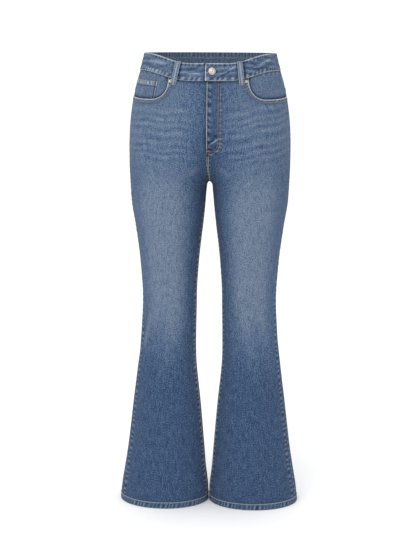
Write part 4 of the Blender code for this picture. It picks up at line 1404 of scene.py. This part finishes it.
def fittings():
    """Shank button with a rolled rim and a dimpled dome, and rivets with a raised nib."""
    r, h = BUTTON_RADIUS, BUTTON_HEIGHT
    t = np.linspace(0.0, 1.0, 12)
    dome = [(r * 0.70 * (1 - s), h * (0.80 + 0.16 * s * (2 - s) - 0.11 * bell(s, 0.5, 0.12)))
            for s in t[1:]]
    rim = [(r * (0.90 + 0.10 * math.cos(a)), h * (0.66 + 0.26 * math.sin(a)))
           for a in np.linspace(-1.2, 2.9, 14)]
    button = [(1e-5, 0.0), (r * 0.60, 0.0), (r * 0.60, h * 0.32)] + rim
    button += [(r * 0.76, h * 0.70), (r * 0.72, h * 0.76)] + dome[:-1] + [(1e-5, h * 0.96)]
    turned("shank_button", "waist_button", BUTTON_X, BUTTON_Z, 1, BAND_PROUD + LAP_RISE + SEAM,
           button, NICKEL, 64)
    outline = np.array([(0, 0), (1, 0), (1, 0.25), (0.95, 0.48), (0.84, 0.60), (0.66, 0.60),
                        (0.54, 0.46), (0.44, 0.50), (0.36, 0.80), (0.24, 0.97), (0, 1)])
    rivet = np.maximum(outline * (RIVET_RADIUS, RIVET_HEIGHT), (1e-5, 0.0))
    for half in (1, -1):
        turned("pocket_rivet_" + SIDE[half], "rivet_" + SIDE[half], RIVET_X, RIVET_Z,
               half, TACK_LIFT, rivet, TARNISH, 40)


fittings()


# ---- floor, light and camera ----

def floor():
    """A wide flat floor at the hem's lower edge."""
    low = float(cad_low[2])
    corners = np.array([(-30, -30, low), (30, -30, low), (30, 30, low), (-30, 30, low)], float)
    made = build("floor", corners, np.array([[0, 1, 2, 3]]), corners[:, :2], [plain_floor()],
                 smooth=False)


def soft_box(name, place, aim, size, power):
    """A large square lamp turned towards a point."""
    lamp = bpy.data.lights.new(name, "AREA")
    lamp.size, lamp.energy = size, power
    held = bpy.data.objects.new(name, lamp)
    held.location = place
    held.rotation_euler = (Vector(aim) - Vector(place)).to_track_quat("-Z", "Y").to_euler()
    bpy.context.scene.collection.objects.link(held)


def studio():
    """Even white surroundings, with one soft lamp from the upper left."""
    world = bpy.data.worlds.new("studio")
    world.use_nodes = True
    around = world.node_tree.nodes["Background"]
    around.inputs["Color"].default_value = (1.0, 1.0, 1.0, 1.0)
    around.inputs["Strength"].default_value = 1.16
    bpy.context.scene.world = world
    soft_box("key_light", (-1.2, -3.2, 1.6), (0, 0, -0.45), 2.6, 62.0)
    bpy.context.scene.view_settings.view_transform = "Standard"
    bpy.context.scene.view_settings.look = "None"


def camera():
    """The photograph's view: 3 m away, a little to the right, looking down by 10.5 degrees."""
    lens, distance, height = 84.8, 3.0, 0.06
    yaw, tilt, roll = math.radians(2.5), math.radians(10.53), math.radians(0.25)
    eye = Vector((distance * math.sin(yaw) + 0.0014, -distance * math.cos(yaw), height))
    ahead = Vector((-math.sin(yaw) * math.cos(tilt), math.cos(yaw) * math.cos(tilt),
                    -math.sin(tilt)))
    made = bpy.data.cameras.new("camera")
    made.lens, made.sensor_width = lens, 36.0
    held = bpy.data.objects.new("camera", made)
    turn = ahead.to_track_quat("-Z", "Y").to_matrix() @ Matrix.Rotation(roll, 3, "Z")
    held.location = eye
    held.rotation_euler = turn.to_euler()
    bpy.context.scene.collection.objects.link(held)
    bpy.context.scene.camera = held


floor()
studio()
camera()
